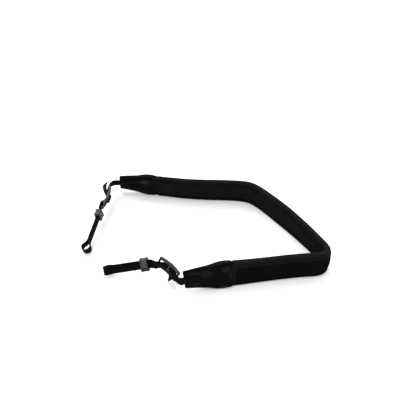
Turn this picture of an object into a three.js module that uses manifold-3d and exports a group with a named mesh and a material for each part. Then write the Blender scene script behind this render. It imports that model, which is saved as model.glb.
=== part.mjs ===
// Neck strap, in millimetres, +Z up. A padded band stands on its edge in a wide loop. Each of
// its ends is sewn into a tapered tab, and a webbing end comes out of each tab: it runs through
// a bowed slide buckle and a keeper, makes a loop for a carrying lug, comes back through the
// keeper and the buckle, and stops in a short tail.
import * as THREE from 'three';
import { mergeVertices } from 'three/addons/utils/BufferGeometryUtils.js';
import Module from 'manifold-3d';

const wasm = await Module();
wasm.setup();

const V = (x, y, z) => new THREE.Vector3(x, y, z);
const rad = THREE.MathUtils.degToRad;
const UP = V(0, 0, 1);

// Fit between neighbouring pieces.
const GAP = 0.3;

// Where the strap starts (the near tab's mouth) and the way it sets out, in degrees from +X.
const START = { x: -19.05, y: -77.38, heading: 7.9 };

// The strap's way round the floor, from the near tab's mouth to the far tab's. turn is to the
// left; lean is the top edge's tilt out of the loop, in degrees, reached at the row's end.
const START_LEAN = -10;
const ROUTE = [
  { part: 'near tab', run: 50, turn: 1, lean: -10 },
  { part: 'near leg', run: 45, turn: 0, lean: -8 },
  { part: 'near leg, bowed out', run: 47, turn: -5, lean: -7 },
  { part: 'tight bend, start', run: 13, turn: 40, lean: -7 },
  { part: 'tight bend, middle', run: 8, turn: 57, lean: -7 },
  { part: 'tight bend, end', run: 5, turn: 19, lean: -6.5 },
  { part: 'back, near third', run: 26, turn: 4.5, lean: -3.5 },
  { part: 'back, middle', run: 36, turn: 3.5, lean: 1 },
  { part: 'back, far third', run: 28, turn: 0.5, lean: 0.5 },
  { part: 'wide bend, start', run: 21, turn: 6, lean: 0 },
  { part: 'wide bend, middle', run: 17, turn: 35, lean: -0.5 },
  { part: 'wide bend, end', run: 16, turn: 6.5, lean: -1 },
  { part: 'far leg, bowed in', run: 23, turn: 2.5, lean: -1.5 },
  { part: 'far leg', run: 25, turn: -3.5, lean: -2.5 },
  { part: 'far leg, bowed out', run: 24, turn: -5, lean: -3.5 },
  { part: 'far leg, straight', run: 24, turn: 1, lean: -5.5 },
  { part: 'far tab', run: 50, turn: 0, lean: -5.5 },
];
const EASE = 5; // the turn of one run is eased into the next over this length on each side
const ROUTE_STEP = 0.5;

// Band. The section's rows go up from the resting edge: half thickness on the outer face (out of
// the loop) and on the inner face. A rolled rim tops both faces, and a stitch groove sets it off.
// The band is pinched where it goes into a tab and swells to its full section next to it.
const BAND = { width: 34, endWidth: 32.2, endThick: 4, endSwell: 2.5, inTab: 14 };
const BAND_SECTION = [
  { up: 0.0, outer: 1.2, inner: 1.2 },
  { up: 0.6, outer: 2.1, inner: 2.1 },
  { up: 1.9, outer: 2.8, inner: 2.8 },
  { up: 3.8, outer: 2.9, inner: 3.0 },
  { up: 5.4, outer: 2.8, inner: 2.6 },
  { up: 9.0, outer: 2.7, inner: 2.8 },
  { up: 17.0, outer: 2.7, inner: 2.9 },
  { up: 25.0, outer: 2.7, inner: 2.8 },
  { up: 25.8, outer: 2.4, inner: 2.8 },
  { up: 26.8, outer: 2.8, inner: 2.7 },
  { up: 28.8, outer: 3.0, inner: 2.6 },
  { up: 31.2, outer: 3.0, inner: 3.0 },
  { up: 32.8, outer: 2.4, inner: 2.4 },
  { up: 33.7, outer: 1.3, inner: 1.3 },
];
const BAND_FULL_THICK = 6;
const SINK = 0.25; // how far the soft resting edge is pressed flat
// Stations along the band: degrees of turn between two, least and greatest distance.
const BAND_STEP = { turn: 7, least: 2, greatest: 11 };
// In the tight bend the section is cupped outwards: depth at mid height, place and half length.
const CUP = { depth: 2, at: 160, half: 12 };

// Tabs. The rows go from the mouth to the seam: lower and upper edge on the band, and thickness.
// slotUp is the webbing's middle at the mouth; slotDepth and pocketStart bound the taper of the
// hollow between the webbing and the band, which is lifted a little where it is pinched.
const TAB = {
  length: 50,
  lift: 0.6,
  slotUp: 15.2,
  slotDepth: 17,
  pocketStart: 36,
  corner: 2.2,
  hollowCorner: 0.7,
  beyond: 4,
};
const TAB_SECTION = [
  { from: 0, low: 5.2, high: 28.3, thick: 4.6 },
  { from: 1, low: 5.1, high: 28.5, thick: 4.8 },
  { from: 11, low: 4.2, high: 30.5, thick: 5 },
  { from: 20, low: 2.8, high: 31.9, thick: 5.5 },
  { from: 25, low: 2.2, high: 32.5, thick: 6 },
  { from: 29, low: 1.2, high: 33.6, thick: 6.4 },
  { from: 33, low: 0.3, high: 34.6, thick: 6.8 },
  { from: 37, low: -0.2, high: 35.2, thick: 7 },
  { from: 41, low: -0.3, high: 35.4, thick: 7 },
  { from: 46, low: -0.2, high: 35.3, thick: 6.9 },
  { from: 50, low: 0.1, high: 34.9, thick: 6.6 },
];
// How each tab is cut: the mouth's reach at mid height and the more of it at the upper edge, and
// how much shorter the tab is on its inner face. Both cuts fade out inside the tab.
const NEAR_CUT = { out: 0.8, upper: 0.8, slant: 1 };
const FAR_CUT = { out: 0.3, upper: -1.2, slant: 6 };
const CUT_FADE = { mouthTo: 22, slantFrom: 34 };

// Webbing, how deep it is sewn into the tab, and its straight run next to each hard piece.
const WEB = { width: 9.5, thick: 1.2, inTab: 15, straight: 1 };
const LAYER = WEB.thick + GAP; // from one layer's middle to the next
// Roundness of the bend from the tab to the buckle, and of the doubled run's two ends.
const TAB_BEND_PULL = 0.45;
const LEAVE_PULL = 0.1;
const KEEPER_PULL = 0.4;
const SAG_AT = 0.4; // where on the doubled run its sag is deepest
const CURL_FROM = 0.3; // where on the tail its curl and twist start

// Slide buckle: two bowed side rails and three cross bars.
const BUCKLE = { length: 28, width: 16, thick: 3.4, bow: 2.2, rail: 2.9, bar: 1.25, pitch: 12.3, edge: 0.4 };

// Keeper: a soft ring around both layers of the webbing.
const KEEPER = { length: 8, wall: 2.5, corner: 3, edge: 0.35 };

// Lug loop: clear width inside, and the radius with which the two layers part.
const LOOP = { clear: 8, flare: 8 };

// Where the hard pieces sit. heading, rise and roll are degrees: the way towards the lug, its
// slope, and the webbing's turn about it. side is +1 where the buckle bows to the right of that
// way. loose is the webbing's distance from the bar next to the lug, leave the angle at which the
// doubled run leaves that bar, swing its turn on edge half way, and sag its depth. tail is the
// free end past the buckle's middle bar, dip its angle to the webbing, curl how much of that angle
// it loses, and tailTurn its twist.
const NEAR_END = {
  side: 1,
  buckle: { x: -37.75, y: -61.88, z: 16.7, heading: 144.3, rise: 21.2, roll: -10.6 },
  keeper: { x: -62.35, y: -56.88, z: 18, heading: 179.6, rise: -14.4, roll: -41 },
  lugRun: 42,
  leave: 40,
  loose: 1.7,
  swing: 10,
  sag: 0.6,
  tail: 14,
  dip: 50,
  curl: 0,
  tailTurn: -25,
};
const FAR_END = {
  side: -1,
  buckle: { x: -121.75, y: 44.82, z: 17.5, heading: 262, rise: -3, roll: 22 },
  keeper: { x: -125.65, y: 18.32, z: 14.6, heading: 260, rise: -11, roll: 2 },
  lugRun: 45,
  leave: 0,
  loose: 0,
  swing: 0,
  sag: 0,
  tail: 24,
  dip: 40,
  curl: 32,
  tailTurn: 24,
};

// Facets: how many straight steps each kind of curve is drawn with.
const FACETS = {
  tabCorner: 4,
  hollowCorner: 2,
  keeperCorner: 4,
  railBow: 10,
  railTip: 5,
  bar: 12,
  endBarTurn: 4,
  middleBarTurn: 6,
  lugFlare: 4,
  lugTurn: 15,
  tabBend: 8,
  doubledRun: 10,
  tail: 6,
};
const WELD = 1e-4; // points closer than this are one point
const WEB_STEP = 0.25; // least distance between two stations of the webbing

const BLACK_JERSEY = { color: 0x161617, roughness: 0.92, metalness: 0 };
const BLACK_LEATHER = { color: 0x1b1b1c, roughness: 0.55, metalness: 0 };
const BLACK_WEBBING = { color: 0x101011, roughness: 0.8, metalness: 0 };
const GREY_PLASTIC = { color: 0x2c2d2e, roughness: 0.45, metalness: 0 };
const GREY_RUBBER = { color: 0x555658, roughness: 0.65, metalness: 0 };

const mix = (a, b, t) => a + (b - a) * t;

// Value of a column at a place along a table whose rows are sorted by another column.
function lookUp(rows, by, at, column) {
  const next = rows.findIndex((row) => row[by] >= at);
  if (next === 0) return rows[0][column];
  if (next < 0) return rows[rows.length - 1][column];
  const [a, b] = [rows[next - 1], rows[next]];
  return mix(a[column], b[column], (at - a[by]) / (b[by] - a[by]));
}

// The route as a table by distance: turned heading and lean at the end of each run.
function routeTable() {
  const rows = [{ s: 0, heading: START.heading, lean: START_LEAN }];
  for (const { run, turn, lean } of ROUTE) {
    const last = rows[rows.length - 1];
    rows.push({ s: last.s + run, heading: last.heading + turn, lean });
  }
  return rows;
}

const TABLE = routeTable();
const STRAP_LENGTH = TABLE[TABLE.length - 1].s;

// Mean heading over the eased length around a place on the route.
function headingAt(s) {
  const shifts = [-1, -0.5, 0, 0.5, 1];
  const sum = shifts.reduce((total, k) => total + lookUp(TABLE, 's', s + k * EASE, 'heading'), 0);
  return sum / shifts.length;
}

// Places on the floor under the strap, one for each step of the route.
function routePlaces() {
  const places = [{ s: 0, x: START.x, y: START.y }];
  for (let s = 0; s < STRAP_LENGTH; s += ROUTE_STEP) {
    const way = rad(headingAt(s + ROUTE_STEP / 2));
    const last = places[places.length - 1];
    places.push({
      s: s + ROUTE_STEP,
      x: last.x + ROUTE_STEP * Math.cos(way),
      y: last.y + ROUTE_STEP * Math.sin(way),
    });
  }
  return places;
}

const PLACES = routePlaces();

// Frame of the strap at a distance: its floor point, way, upward edge and outward face.
function strapFrame(s) {
  const way = rad(headingAt(s));
  const lean = rad(lookUp(TABLE, 's', s, 'lean'));
  const along = V(Math.cos(way), Math.sin(way), 0);
  const beyond = s - THREE.MathUtils.clamp(s, 0, STRAP_LENGTH);
  const origin = V(lookUp(PLACES, 's', s, 'x'), lookUp(PLACES, 's', s, 'y'), 0);
  origin.addScaledVector(along, beyond);
  const level = V(Math.sin(way), -Math.cos(way), 0);
  const up = level.clone().multiplyScalar(Math.sin(lean)).addScaledVector(UP, Math.cos(lean));
  const face = level.clone().multiplyScalar(Math.cos(lean)).addScaledVector(UP, -Math.sin(lean));
  return { origin, along, up, face };
}

// A point of the strap's section: out of the loop and up the band. Soft edges press flat.
function strapPoint(frame, out, up) {
  const point = frame.origin.clone().addScaledVector(frame.face, out).addScaledVector(frame.up, up);
  point.z = Math.max(0, point.z - SINK);
  return point;
}

// Closed solid through rings of points, all of the same count and going the same way round.
function loft(rings) {
  const count = rings[0].length;
  const points = rings.flat();
  const index = [];
  for (let i = 0; i + 1 < rings.length; i += 1) {
    for (let j = 0; j < count; j += 1) {
      const a = i * count + j;
      const b = i * count + ((j + 1) % count);
      index.push(a, b, b + count, a, b + count, a + count);
    }
  }
  const cap = THREE.ShapeUtils.triangulateShape(flatten(rings[0]), []);
  const last = (rings.length - 1) * count;
  for (const [a, b, c] of cap) {
    index.push(a, c, b);
    index.push(last + a, last + b, last + c);
  }
  const geometry = new THREE.BufferGeometry().setFromPoints(points);
  geometry.setIndex(index);
  return geometry;
}

// A ring's points in its own plane, for the triangles of its cap.
function flatten(ring) {
  const normal = V(0, 0, 0);
  ring.forEach((point, j) => {
    normal.add(point.clone().cross(ring[(j + 1) % ring.length]));
  });
  normal.normalize();
  const across = ring[1].clone().sub(ring[0]).normalize();
  const other = normal.clone().cross(across);
  return ring.map((point) => {
    const from = point.clone().sub(ring[0]);
    return new THREE.Vector2(from.dot(across), from.dot(other));
  });
}

// Solid of a closed geometry, turned the right way out.
function solid(geometry) {
  const bare = geometry.clone();
  bare.deleteAttribute('normal');
  bare.deleteAttribute('uv');
  const merged = mergeVertices(bare, WELD);
  const place = merged.getAttribute('position').array;
  const index = merged.getIndex().array;
  if (signedVolume(place, index) < 0) {
    for (let i = 0; i < index.length; i += 3) [index[i], index[i + 1]] = [index[i + 1], index[i]];
  }
  return new wasm.Manifold(new wasm.Mesh({
    numProp: 3,
    vertProperties: new Float32Array(place),
    triVerts: new Uint32Array(index),
  }));
}

function signedVolume(place, index) {
  let six = 0;
  for (let i = 0; i < index.length; i += 3) {
    const [a, b, c] = [0, 1, 2].map((k) => V().fromArray(place, index[i + k] * 3));
    six += a.dot(b.cross(c));
  }
  return six / 6;
}

// Named mesh of a solid.
function piece(name, body, look) {
  const { numProp, vertProperties, triVerts } = body.getMesh();
  const place = new Float32Array((vertProperties.length / numProp) * 3);
  for (let i = 0; i * numProp < vertProperties.length; i += 1) {
    for (let k = 0; k < 3; k += 1) place[i * 3 + k] = vertProperties[i * numProp + k];
  }
  const geometry = new THREE.BufferGeometry();
  geometry.setAttribute('position', new THREE.BufferAttribute(place, 3));
  geometry.setIndex(Array.from(triVerts));
  geometry.computeVertexNormals();
  const mesh = new THREE.Mesh(geometry, new THREE.MeshStandardMaterial(look));
  mesh.name = name;
  return mesh;
}

// Rounded rectangle about a middle point, anticlockwise, as pairs of across and up.
function roundedRing(wide, high, radius, steps) {
  const ring = [];
  const corners = [[1, 1], [-1, 1], [-1, -1], [1, -1]];
  corners.forEach(([sx, sy], quarter) => {
    for (let k = 0; k <= steps; k += 1) {
      const angle = (quarter + k / steps) * Math.PI / 2;
      ring.push([
        sx * (wide / 2 - radius) + radius * Math.cos(angle),
        sy * (high / 2 - radius) + radius * Math.sin(angle),
      ]);
    }
  });
  return ring;
}

// Distances along the band: close where the route turns, wide apart where it runs straight.
function bandStations(from, to) {
  const { turn, least, greatest } = BAND_STEP;
  const stations = [from];
  while (stations[stations.length - 1] < to) {
    const s = stations[stations.length - 1];
    const bend = Math.abs(headingAt(s + least) - headingAt(s)) / least;
    stations.push(s + THREE.MathUtils.clamp(turn / bend, least, greatest));
  }
  stations[stations.length - 1] = to;
  return stations;
}

// How far before the tab's end the band may swell, on the outer (1) or inner (-1) face.
function swellEarly(cut, face) {
  const pocketFace = BAND.endThick / 2 + GAP;
  const endThick = TAB_SECTION[TAB_SECTION.length - 1].thick;
  return face > 0 ? 0 : cut.slant * (0.5 + pocketFace / endThick);
}

// Band: its section narrows where it is pinched into a tab and is cupped in the tight bend.
function makeBand() {
  const from = TAB.length - BAND.inTab;
  const to = STRAP_LENGTH - from;
  const swells = (cut) => [1, -1].flatMap((face) => {
    const start = TAB.length - swellEarly(cut, face);
    return [start, start + BAND.endSwell / 2, start + BAND.endSwell];
  });
  const stations = [...swells(NEAR_CUT), ...swells(FAR_CUT).map((s) => STRAP_LENGTH - s)];
  const clear = (s) => stations.every((other) => Math.abs(other - s) > BAND_STEP.least / 2);
  stations.push(...bandStations(from, to).filter(clear));
  stations.sort((a, b) => a - b);
  const middle = BAND.width / 2;
  const rings = stations.map((s) => {
    const frame = strapFrame(s);
    const cut = s < STRAP_LENGTH / 2 ? NEAR_CUT : FAR_CUT;
    const outside = Math.min(s, STRAP_LENGTH - s) - TAB.length;
    const fullOn = (face) => {
      return THREE.MathUtils.smoothstep(outside + swellEarly(cut, face), 0, BAND.endSwell);
    };
    const thickOn = (face) => mix(BAND.endThick / BAND_FULL_THICK, 1, fullOn(face));
    const full = fullOn(1);
    const high = mix(BAND.endWidth / BAND.width, 1, full);
    const cup = CUP.depth * Math.exp(-(((s - CUP.at) / CUP.half) ** 2));
    const outer = BAND_SECTION.map(({ up, outer: half }) => [half * thickOn(1), up]);
    const inner = BAND_SECTION.map(({ up, inner: half }) => [-half * thickOn(-1), up]).reverse();
    return [...outer, ...inner].map(([out, up]) => {
      const cupped = out + cup * (1 - (up / middle - 1) ** 2);
      return strapPoint(frame, cupped, middle + (up - middle) * high + TAB.lift * (1 - full));
    });
  });
  return solid(loft(rings));
}

// Ring of a tab's section, or of the hollow in it, from its lower to its upper edge. The cuts of
// the tab's mouth and seam move its points along the strap.
function tabRing({ from, low, high, thick }, radius, steps, placeOf, cut) {
  const middle = (low + high) / 2;
  const mouth = {
    low: lookUp(TAB_SECTION, 'from', from, 'low'),
    high: lookUp(TAB_SECTION, 'from', from, 'high'),
  };
  const endThick = TAB_SECTION[TAB_SECTION.length - 1].thick;
  const { clamp, smoothstep } = THREE.MathUtils;
  const reach = 1 - smoothstep(from, 0, CUT_FADE.mouthTo);
  const seam = clamp((from - CUT_FADE.slantFrom) / (TAB.length - CUT_FADE.slantFrom), 0, 1);
  return roundedRing(thick, high - low, radius, steps).map(([out, across]) => {
    const up = middle + across;
    const upper = (2 * up - mouth.low - mouth.high) / (mouth.high - mouth.low);
    const inner = clamp(0.5 - out / endThick, 0, 1);
    const place = from - reach * (cut.out + cut.upper * upper) - cut.slant * inner * seam;
    return strapPoint(strapFrame(placeOf(place)), out, up);
  });
}

// Tab: a leather sleeve with a slot for the webbing at its mouth and a pocket for the band.
function makeTab(placeOf, cut) {
  const outer = TAB_SECTION.map((row) => tabRing(row, TAB.corner, FACETS.tabCorner, placeOf, cut));
  const slot = { up: TAB.slotUp, wide: WEB.width + 2 * GAP, thick: WEB.thick + 2 * GAP };
  const pocket = {
    up: BAND.width / 2 + TAB.lift,
    wide: BAND.endWidth + 2 * GAP,
    thick: BAND.endThick + 2 * GAP,
  };
  const hollow = [
    { from: -TAB.beyond, ...slot },
    { from: TAB.slotDepth, ...slot },
    { from: TAB.pocketStart, ...pocket },
    { from: TAB.length + TAB.beyond, ...pocket },
  ].map(({ from, up, wide, thick }) => {
    const row = { from, low: up - wide / 2, high: up + wide / 2, thick };
    return tabRing(row, TAB.hollowCorner, FACETS.hollowCorner, placeOf, cut);
  });
  return solid(loft(outer)).subtract(solid(loft(hollow)));
}

// Frame of a hard piece on the webbing: its way to the lug, the webbing's width, the bowed side.
function hardFrame({ x, y, z, heading, rise, roll }, side) {
  const [way, slope, turn] = [rad(heading), rad(rise), rad(roll)];
  const level = V(Math.cos(way), Math.sin(way), 0);
  const left = V(-Math.sin(way), Math.cos(way), 0);
  const along = level.multiplyScalar(Math.cos(slope)).addScaledVector(UP, Math.sin(slope));
  const upright = along.clone().cross(left);
  const across = upright.multiplyScalar(Math.cos(turn)).addScaledVector(left, Math.sin(turn));
  const over = along.clone().cross(across).multiplyScalar(side);
  return { origin: V(x, y, z), along, across, over };
}

// A point in a hard piece's frame: along the webbing and out of its bowed side.
function hardPoint(frame, [along, over]) {
  return frame.origin.clone().addScaledVector(frame.along, along).addScaledVector(frame.over, over);
}

// Points of an arc about a middle point, angles in radians.
function arc([x, y], radius, from, to, steps) {
  return Array.from({ length: steps + 1 }, (_, k) => {
    const angle = mix(from, to, k / steps);
    return [x + radius * Math.cos(angle), y + radius * Math.sin(angle)];
  });
}

// Height of the bowed buckle's middle at a distance from its centre.
const bowAt = (along) => BUCKLE.bow * (1 - (2 * along / BUCKLE.length) ** 2);

// The webbing's two ways through the buckle: under the end bars and over the middle one.
function threading({ dip, leave, loose }) {
  const [tabBar, midBar, lugBar] = [-1, 0, 1].map((k) => [k * BUCKLE.pitch, bowAt(k * BUCKLE.pitch)]);
  const close = BUCKLE.bar + GAP + WEB.thick / 2;
  const wide = close + LAYER;
  const rise = midBar[1] - lugBar[1];
  const reach = Math.hypot(BUCKLE.pitch, rise);
  const tilt = Math.atan2(rise, BUCKLE.pitch);
  const toTab = tilt + Math.asin((close + wide) / reach);
  const toLug = tilt + Math.asin((close + wide + loose) / reach);
  const quarter = Math.PI / 2;
  const { endBarTurn, middleBarTurn } = FACETS;
  const past = BUCKLE.length / 2 + WEB.straight;
  const exit = rad(leave);
  const below = (distance) => [
    past - distance * Math.sin(exit),
    lugBar[1] - distance * Math.cos(exit) - (past - BUCKLE.pitch) * Math.tan(exit),
  ];
  const fixed = [
    ...arc(tabBar, close, -quarter, toTab - quarter, endBarTurn),
    ...arc(midBar, wide, quarter + toTab, quarter - toLug, middleBarTurn),
    ...arc(lugBar, close + loose, -quarter - toLug, -quarter - exit, endBarTurn),
    below(close + loose),
  ];
  const free = [
    ...arc(midBar, close, quarter + rad(dip), quarter - toLug, middleBarTurn),
    ...arc(lugBar, wide + loose, -quarter - toLug, -quarter - exit, endBarTurn),
    below(wide + loose),
  ];
  return { fixed, free, middle: below((close + wide) / 2 + loose), past };
}

// The lug loop in the keeper's frame: the layers part in two flares and meet round a circle.
function lugLoop(lugRun) {
  const radius = LOOP.clear / 2 + WEB.thick / 2;
  const half = LAYER / 2;
  const spread = Math.acos((LOOP.flare + half) / (LOOP.flare + radius));
  const flareAt = lugRun - (LOOP.flare + radius) * Math.sin(spread);
  const quarter = Math.PI / 2;
  return [
    ...arc([flareAt, half + LOOP.flare], LOOP.flare, -quarter, spread - quarter, FACETS.lugFlare),
    ...arc([lugRun, 0], radius, quarter + spread, -quarter - spread, FACETS.lugTurn).slice(1, -1),
    ...arc([flareAt, -half - LOOP.flare], LOOP.flare, quarter - spread, quarter, FACETS.lugFlare),
  ];
}

// Stations of a curve: the values of a function at even steps from 0 to 1.
const stationsOf = (steps, at) => Array.from({ length: steps + 1 }, (_, k) => at(k / steps));

// Middle line of the doubled webbing from the buckle to the keeper, which turns as it goes.
function doubledRun(buckle, keeper, start, stop, { leave, swing, sag }) {
  const from = hardPoint(buckle, start);
  const to = hardPoint(keeper, stop);
  const pull = from.distanceTo(to);
  const [cos, sin] = [Math.cos(rad(leave)), Math.sin(rad(leave))];
  const leaving = buckle.along.clone().multiplyScalar(cos).addScaledVector(buckle.over, -sin);
  const leftOver = buckle.over.clone().multiplyScalar(cos).addScaledVector(buckle.along, sin);
  const curve = new THREE.CubicBezierCurve3(
    from,
    from.clone().addScaledVector(leaving, pull * LEAVE_PULL),
    to.clone().addScaledVector(keeper.along, -pull * KEEPER_PULL),
    to,
  );
  return stationsOf(FACETS.doubledRun, (t) => {
    const turn = THREE.MathUtils.smoothstep(t, 0, 1);
    const across = buckle.across.clone().lerp(keeper.across, turn).normalize();
    const over = leftOver.clone().lerp(keeper.over, turn).normalize();
    const swung = rad(swing) * Math.sin(Math.PI * t) ** 2;
    const deep = sag * (t / SAG_AT) ** 2 * ((1 - t) / (1 - SAG_AT)) ** 3;
    return {
      point: curve.getPoint(t).addScaledVector(UP, -deep),
      across: across.clone().multiplyScalar(Math.cos(swung)).addScaledVector(over, -Math.sin(swung)),
      over: over.clone().multiplyScalar(Math.cos(swung)).addScaledVector(across, Math.sin(swung)),
    };
  });
}

// The free tail past the middle bar: it falls away from the webbing, curls back and twists.
function freeTail(buckle, start, { tail, dip, curl, tailTurn }) {
  const point = hardPoint(buckle, start);
  return stationsOf(FACETS.tail, (t) => t).slice(1).map((t) => {
    const curled = THREE.MathUtils.smoothstep(t, CURL_FROM, 1);
    const fall = rad(dip - curl * curled);
    const way = buckle.along.clone().multiplyScalar(-Math.cos(fall));
    way.addScaledVector(buckle.over, -Math.sin(fall));
    point.addScaledVector(way, tail / FACETS.tail);
    const across = buckle.across.clone().applyAxisAngle(way, rad(tailTurn) * curled);
    return { point: point.clone(), across };
  });
}

// The webbing's whole middle line with its width direction, from inside the tab to the tail.
function webLine(end, mouth) {
  const buckle = hardFrame(end.buckle, end.side);
  const keeper = hardFrame(end.keeper, end.side);
  const { fixed, free, middle, past } = threading(end);
  const onBuckle = (pair) => ({ point: hardPoint(buckle, pair), across: buckle.across });
  const onKeeper = (pair) => ({ point: hardPoint(keeper, pair), across: keeper.across });
  const entry = hardPoint(buckle, [-past, fixed[0][1]]);
  const pull = mouth.point.distanceTo(entry) * TAB_BEND_PULL;
  const bend = new THREE.CubicBezierCurve3(
    mouth.point,
    mouth.point.clone().addScaledVector(mouth.way, pull),
    entry.clone().addScaledVector(buckle.along, -pull),
    entry,
  );
  const fromTab = stationsOf(FACETS.tabBend, (t) => ({
    point: bend.getPoint(t),
    across: mouth.across.clone().lerp(buckle.across, t).normalize(),
  }));
  const inside = {
    point: mouth.point.clone().addScaledVector(mouth.way, -WEB.inTab),
    across: mouth.across,
  };
  const keeperStart = -KEEPER.length / 2 - WEB.straight;
  const doubled = doubledRun(buckle, keeper, middle, [keeperStart, 0], end).slice(1);
  const layer = (offset) => doubled.map(({ point, across, over }) => ({
    point: point.clone().addScaledVector(over, offset),
    across,
  }));
  const line = [
    inside,
    ...fromTab,
    ...fixed.map(onBuckle),
    ...layer(LAYER / 2),
    ...lugLoop(end.lugRun).map(onKeeper),
    ...layer(-LAYER / 2).reverse(),
    ...free.map(onBuckle).reverse(),
    ...freeTail(buckle, free[0], end),
  ];
  return line.filter(({ point }, k) => k === 0 || point.distanceTo(line[k - 1].point) > WEB_STEP);
}

// Flat webbing along a line of points and width directions.
function makeWeb(end, mouth) {
  const line = webLine(end, mouth);
  const rings = line.map(({ point, across }, k) => {
    const before = line[Math.max(0, k - 1)].point;
    const after = line[Math.min(line.length - 1, k + 1)].point;
    const way = after.clone().sub(before).normalize();
    const width = across.clone().addScaledVector(way, -across.dot(way)).normalize();
    const normal = way.clone().cross(width);
    const corners = [[1, 1], [-1, 1], [-1, -1], [1, -1]];
    return corners.map(([w, n]) => point.clone()
      .addScaledVector(width, w * WEB.width / 2)
      .addScaledVector(normal, n * WEB.thick / 2));
  });
  return solid(loft(rings));
}

// Moves a geometry from its own axes (X along, Z bowed side) into a hard piece's frame.
function settle(geometry, frame) {
  const sideways = frame.over.clone().cross(frame.along);
  const matrix = new THREE.Matrix4().makeBasis(frame.along, sideways, frame.over);
  return geometry.applyMatrix4(matrix.setPosition(frame.origin));
}

// Side rail of the buckle: a bowed strip with round ends, as thick as the buckle.
function railShape() {
  const half = BUCKLE.thick / 2;
  const tip = BUCKLE.length / 2 - half;
  const shape = new THREE.Shape();
  const alongs = stationsOf(FACETS.railBow, (t) => mix(-tip, tip, t));
  shape.moveTo(-tip, bowAt(tip) - half);
  alongs.forEach((along) => shape.lineTo(along, bowAt(along) - half));
  shape.absarc(tip, bowAt(tip), half, -Math.PI / 2, Math.PI / 2, false);
  alongs.reverse().forEach((along) => shape.lineTo(along, bowAt(along) + half));
  shape.absarc(-tip, bowAt(tip), half, Math.PI / 2, 1.5 * Math.PI, false);
  return shape;
}

function makeBuckle(end) {
  const frame = hardFrame(end.buckle, end.side);
  const rails = [-1, 1].map((k) => {
    const rail = new THREE.ExtrudeGeometry(railShape(), {
      depth: BUCKLE.rail - 2 * BUCKLE.edge,
      curveSegments: FACETS.railTip,
      bevelThickness: BUCKLE.edge,
      bevelSize: BUCKLE.edge,
      bevelOffset: -BUCKLE.edge,
      bevelSegments: 1,
    });
    rail.rotateX(Math.PI / 2);
    const middle = k * (BUCKLE.width - BUCKLE.rail) / 2;
    return rail.translate(0, middle + BUCKLE.rail / 2 - BUCKLE.edge, 0);
  });
  const bars = [-1, 0, 1].map((k) => {
    const reach = BUCKLE.width - BUCKLE.rail;
    const bar = new THREE.CylinderGeometry(BUCKLE.bar, BUCKLE.bar, reach, FACETS.bar);
    return bar.translate(k * BUCKLE.pitch, 0, bowAt(k * BUCKLE.pitch));
  });
  const bodies = [...rails, ...bars].map((geometry) => solid(settle(geometry, frame)));
  return bodies.reduce((whole, body) => whole.add(body));
}

function makeKeeper(end) {
  const frame = hardFrame(end.keeper, end.side);
  const inner = { wide: WEB.width + 2 * GAP, high: LAYER + WEB.thick + 2 * GAP };
  const outline = (grow, radius) => {
    const ring = roundedRing(inner.wide + grow, inner.high + grow, radius, FACETS.keeperCorner);
    return ring.map(([across, over]) => new THREE.Vector2(across, over));
  };
  const shape = new THREE.Shape(outline(2 * KEEPER.wall, KEEPER.corner));
  shape.holes.push(new THREE.Path(outline(0, KEEPER.edge).reverse()));
  const ring = new THREE.ExtrudeGeometry(shape, {
    depth: KEEPER.length - 2 * KEEPER.edge,
    bevelThickness: KEEPER.edge,
    bevelSize: KEEPER.edge,
    bevelOffset: -KEEPER.edge,
    bevelSegments: 1,
  });
  ring.translate(0, 0, KEEPER.edge - KEEPER.length / 2);
  ring.applyMatrix4(new THREE.Matrix4().makeBasis(V(0, 1, 0), V(0, 0, 1), V(1, 0, 0)));
  return solid(settle(ring, frame));
}

// The middle of a tab's mouth, the way out of it and the webbing's width there.
function mouthOf(s, outward) {
  const frame = strapFrame(s);
  return {
    point: strapPoint(frame, 0, TAB.slotUp),
    way: frame.along.clone().multiplyScalar(outward),
    across: frame.up,
  };
}

const nearMouth = mouthOf(0, -1);
const farMouth = mouthOf(STRAP_LENGTH, 1);

const group = new THREE.Group();
group.name = 'neck_strap';
group.add(
  piece('band', makeBand(), BLACK_JERSEY),
  piece('tab_near', makeTab((from) => from, NEAR_CUT), BLACK_LEATHER),
  piece('tab_far', makeTab((from) => STRAP_LENGTH - from, FAR_CUT), BLACK_LEATHER),
  piece('web_near', makeWeb(NEAR_END, nearMouth), BLACK_WEBBING),
  piece('web_far', makeWeb(FAR_END, farMouth), BLACK_WEBBING),
  piece('buckle_near', makeBuckle(NEAR_END), GREY_PLASTIC),
  piece('buckle_far', makeBuckle(FAR_END), GREY_PLASTIC),
  piece('keeper_near', makeKeeper(NEAR_END), GREY_RUBBER),
  piece('keeper_far', makeKeeper(FAR_END), GREY_RUBBER),
);

export default group;
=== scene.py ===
"""Dresses the neck strap: a padded band on edge, leather tabs, woven ends, slide buckles and keepers."""
import math
from types import SimpleNamespace as Size

import bmesh
import bpy
import numpy as np
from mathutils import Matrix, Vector


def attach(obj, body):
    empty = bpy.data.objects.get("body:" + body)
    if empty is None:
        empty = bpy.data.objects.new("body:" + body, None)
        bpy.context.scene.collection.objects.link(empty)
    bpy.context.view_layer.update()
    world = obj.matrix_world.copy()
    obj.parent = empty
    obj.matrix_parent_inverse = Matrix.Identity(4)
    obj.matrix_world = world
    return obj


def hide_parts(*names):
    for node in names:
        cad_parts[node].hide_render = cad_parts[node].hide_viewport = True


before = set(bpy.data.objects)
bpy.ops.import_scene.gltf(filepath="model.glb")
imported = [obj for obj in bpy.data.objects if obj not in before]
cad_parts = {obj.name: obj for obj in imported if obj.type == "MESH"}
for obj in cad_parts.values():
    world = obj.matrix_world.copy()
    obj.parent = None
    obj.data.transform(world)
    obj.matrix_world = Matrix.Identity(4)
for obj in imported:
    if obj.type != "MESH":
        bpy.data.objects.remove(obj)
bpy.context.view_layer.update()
scene = bpy.context.scene
MM = 0.001
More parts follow.
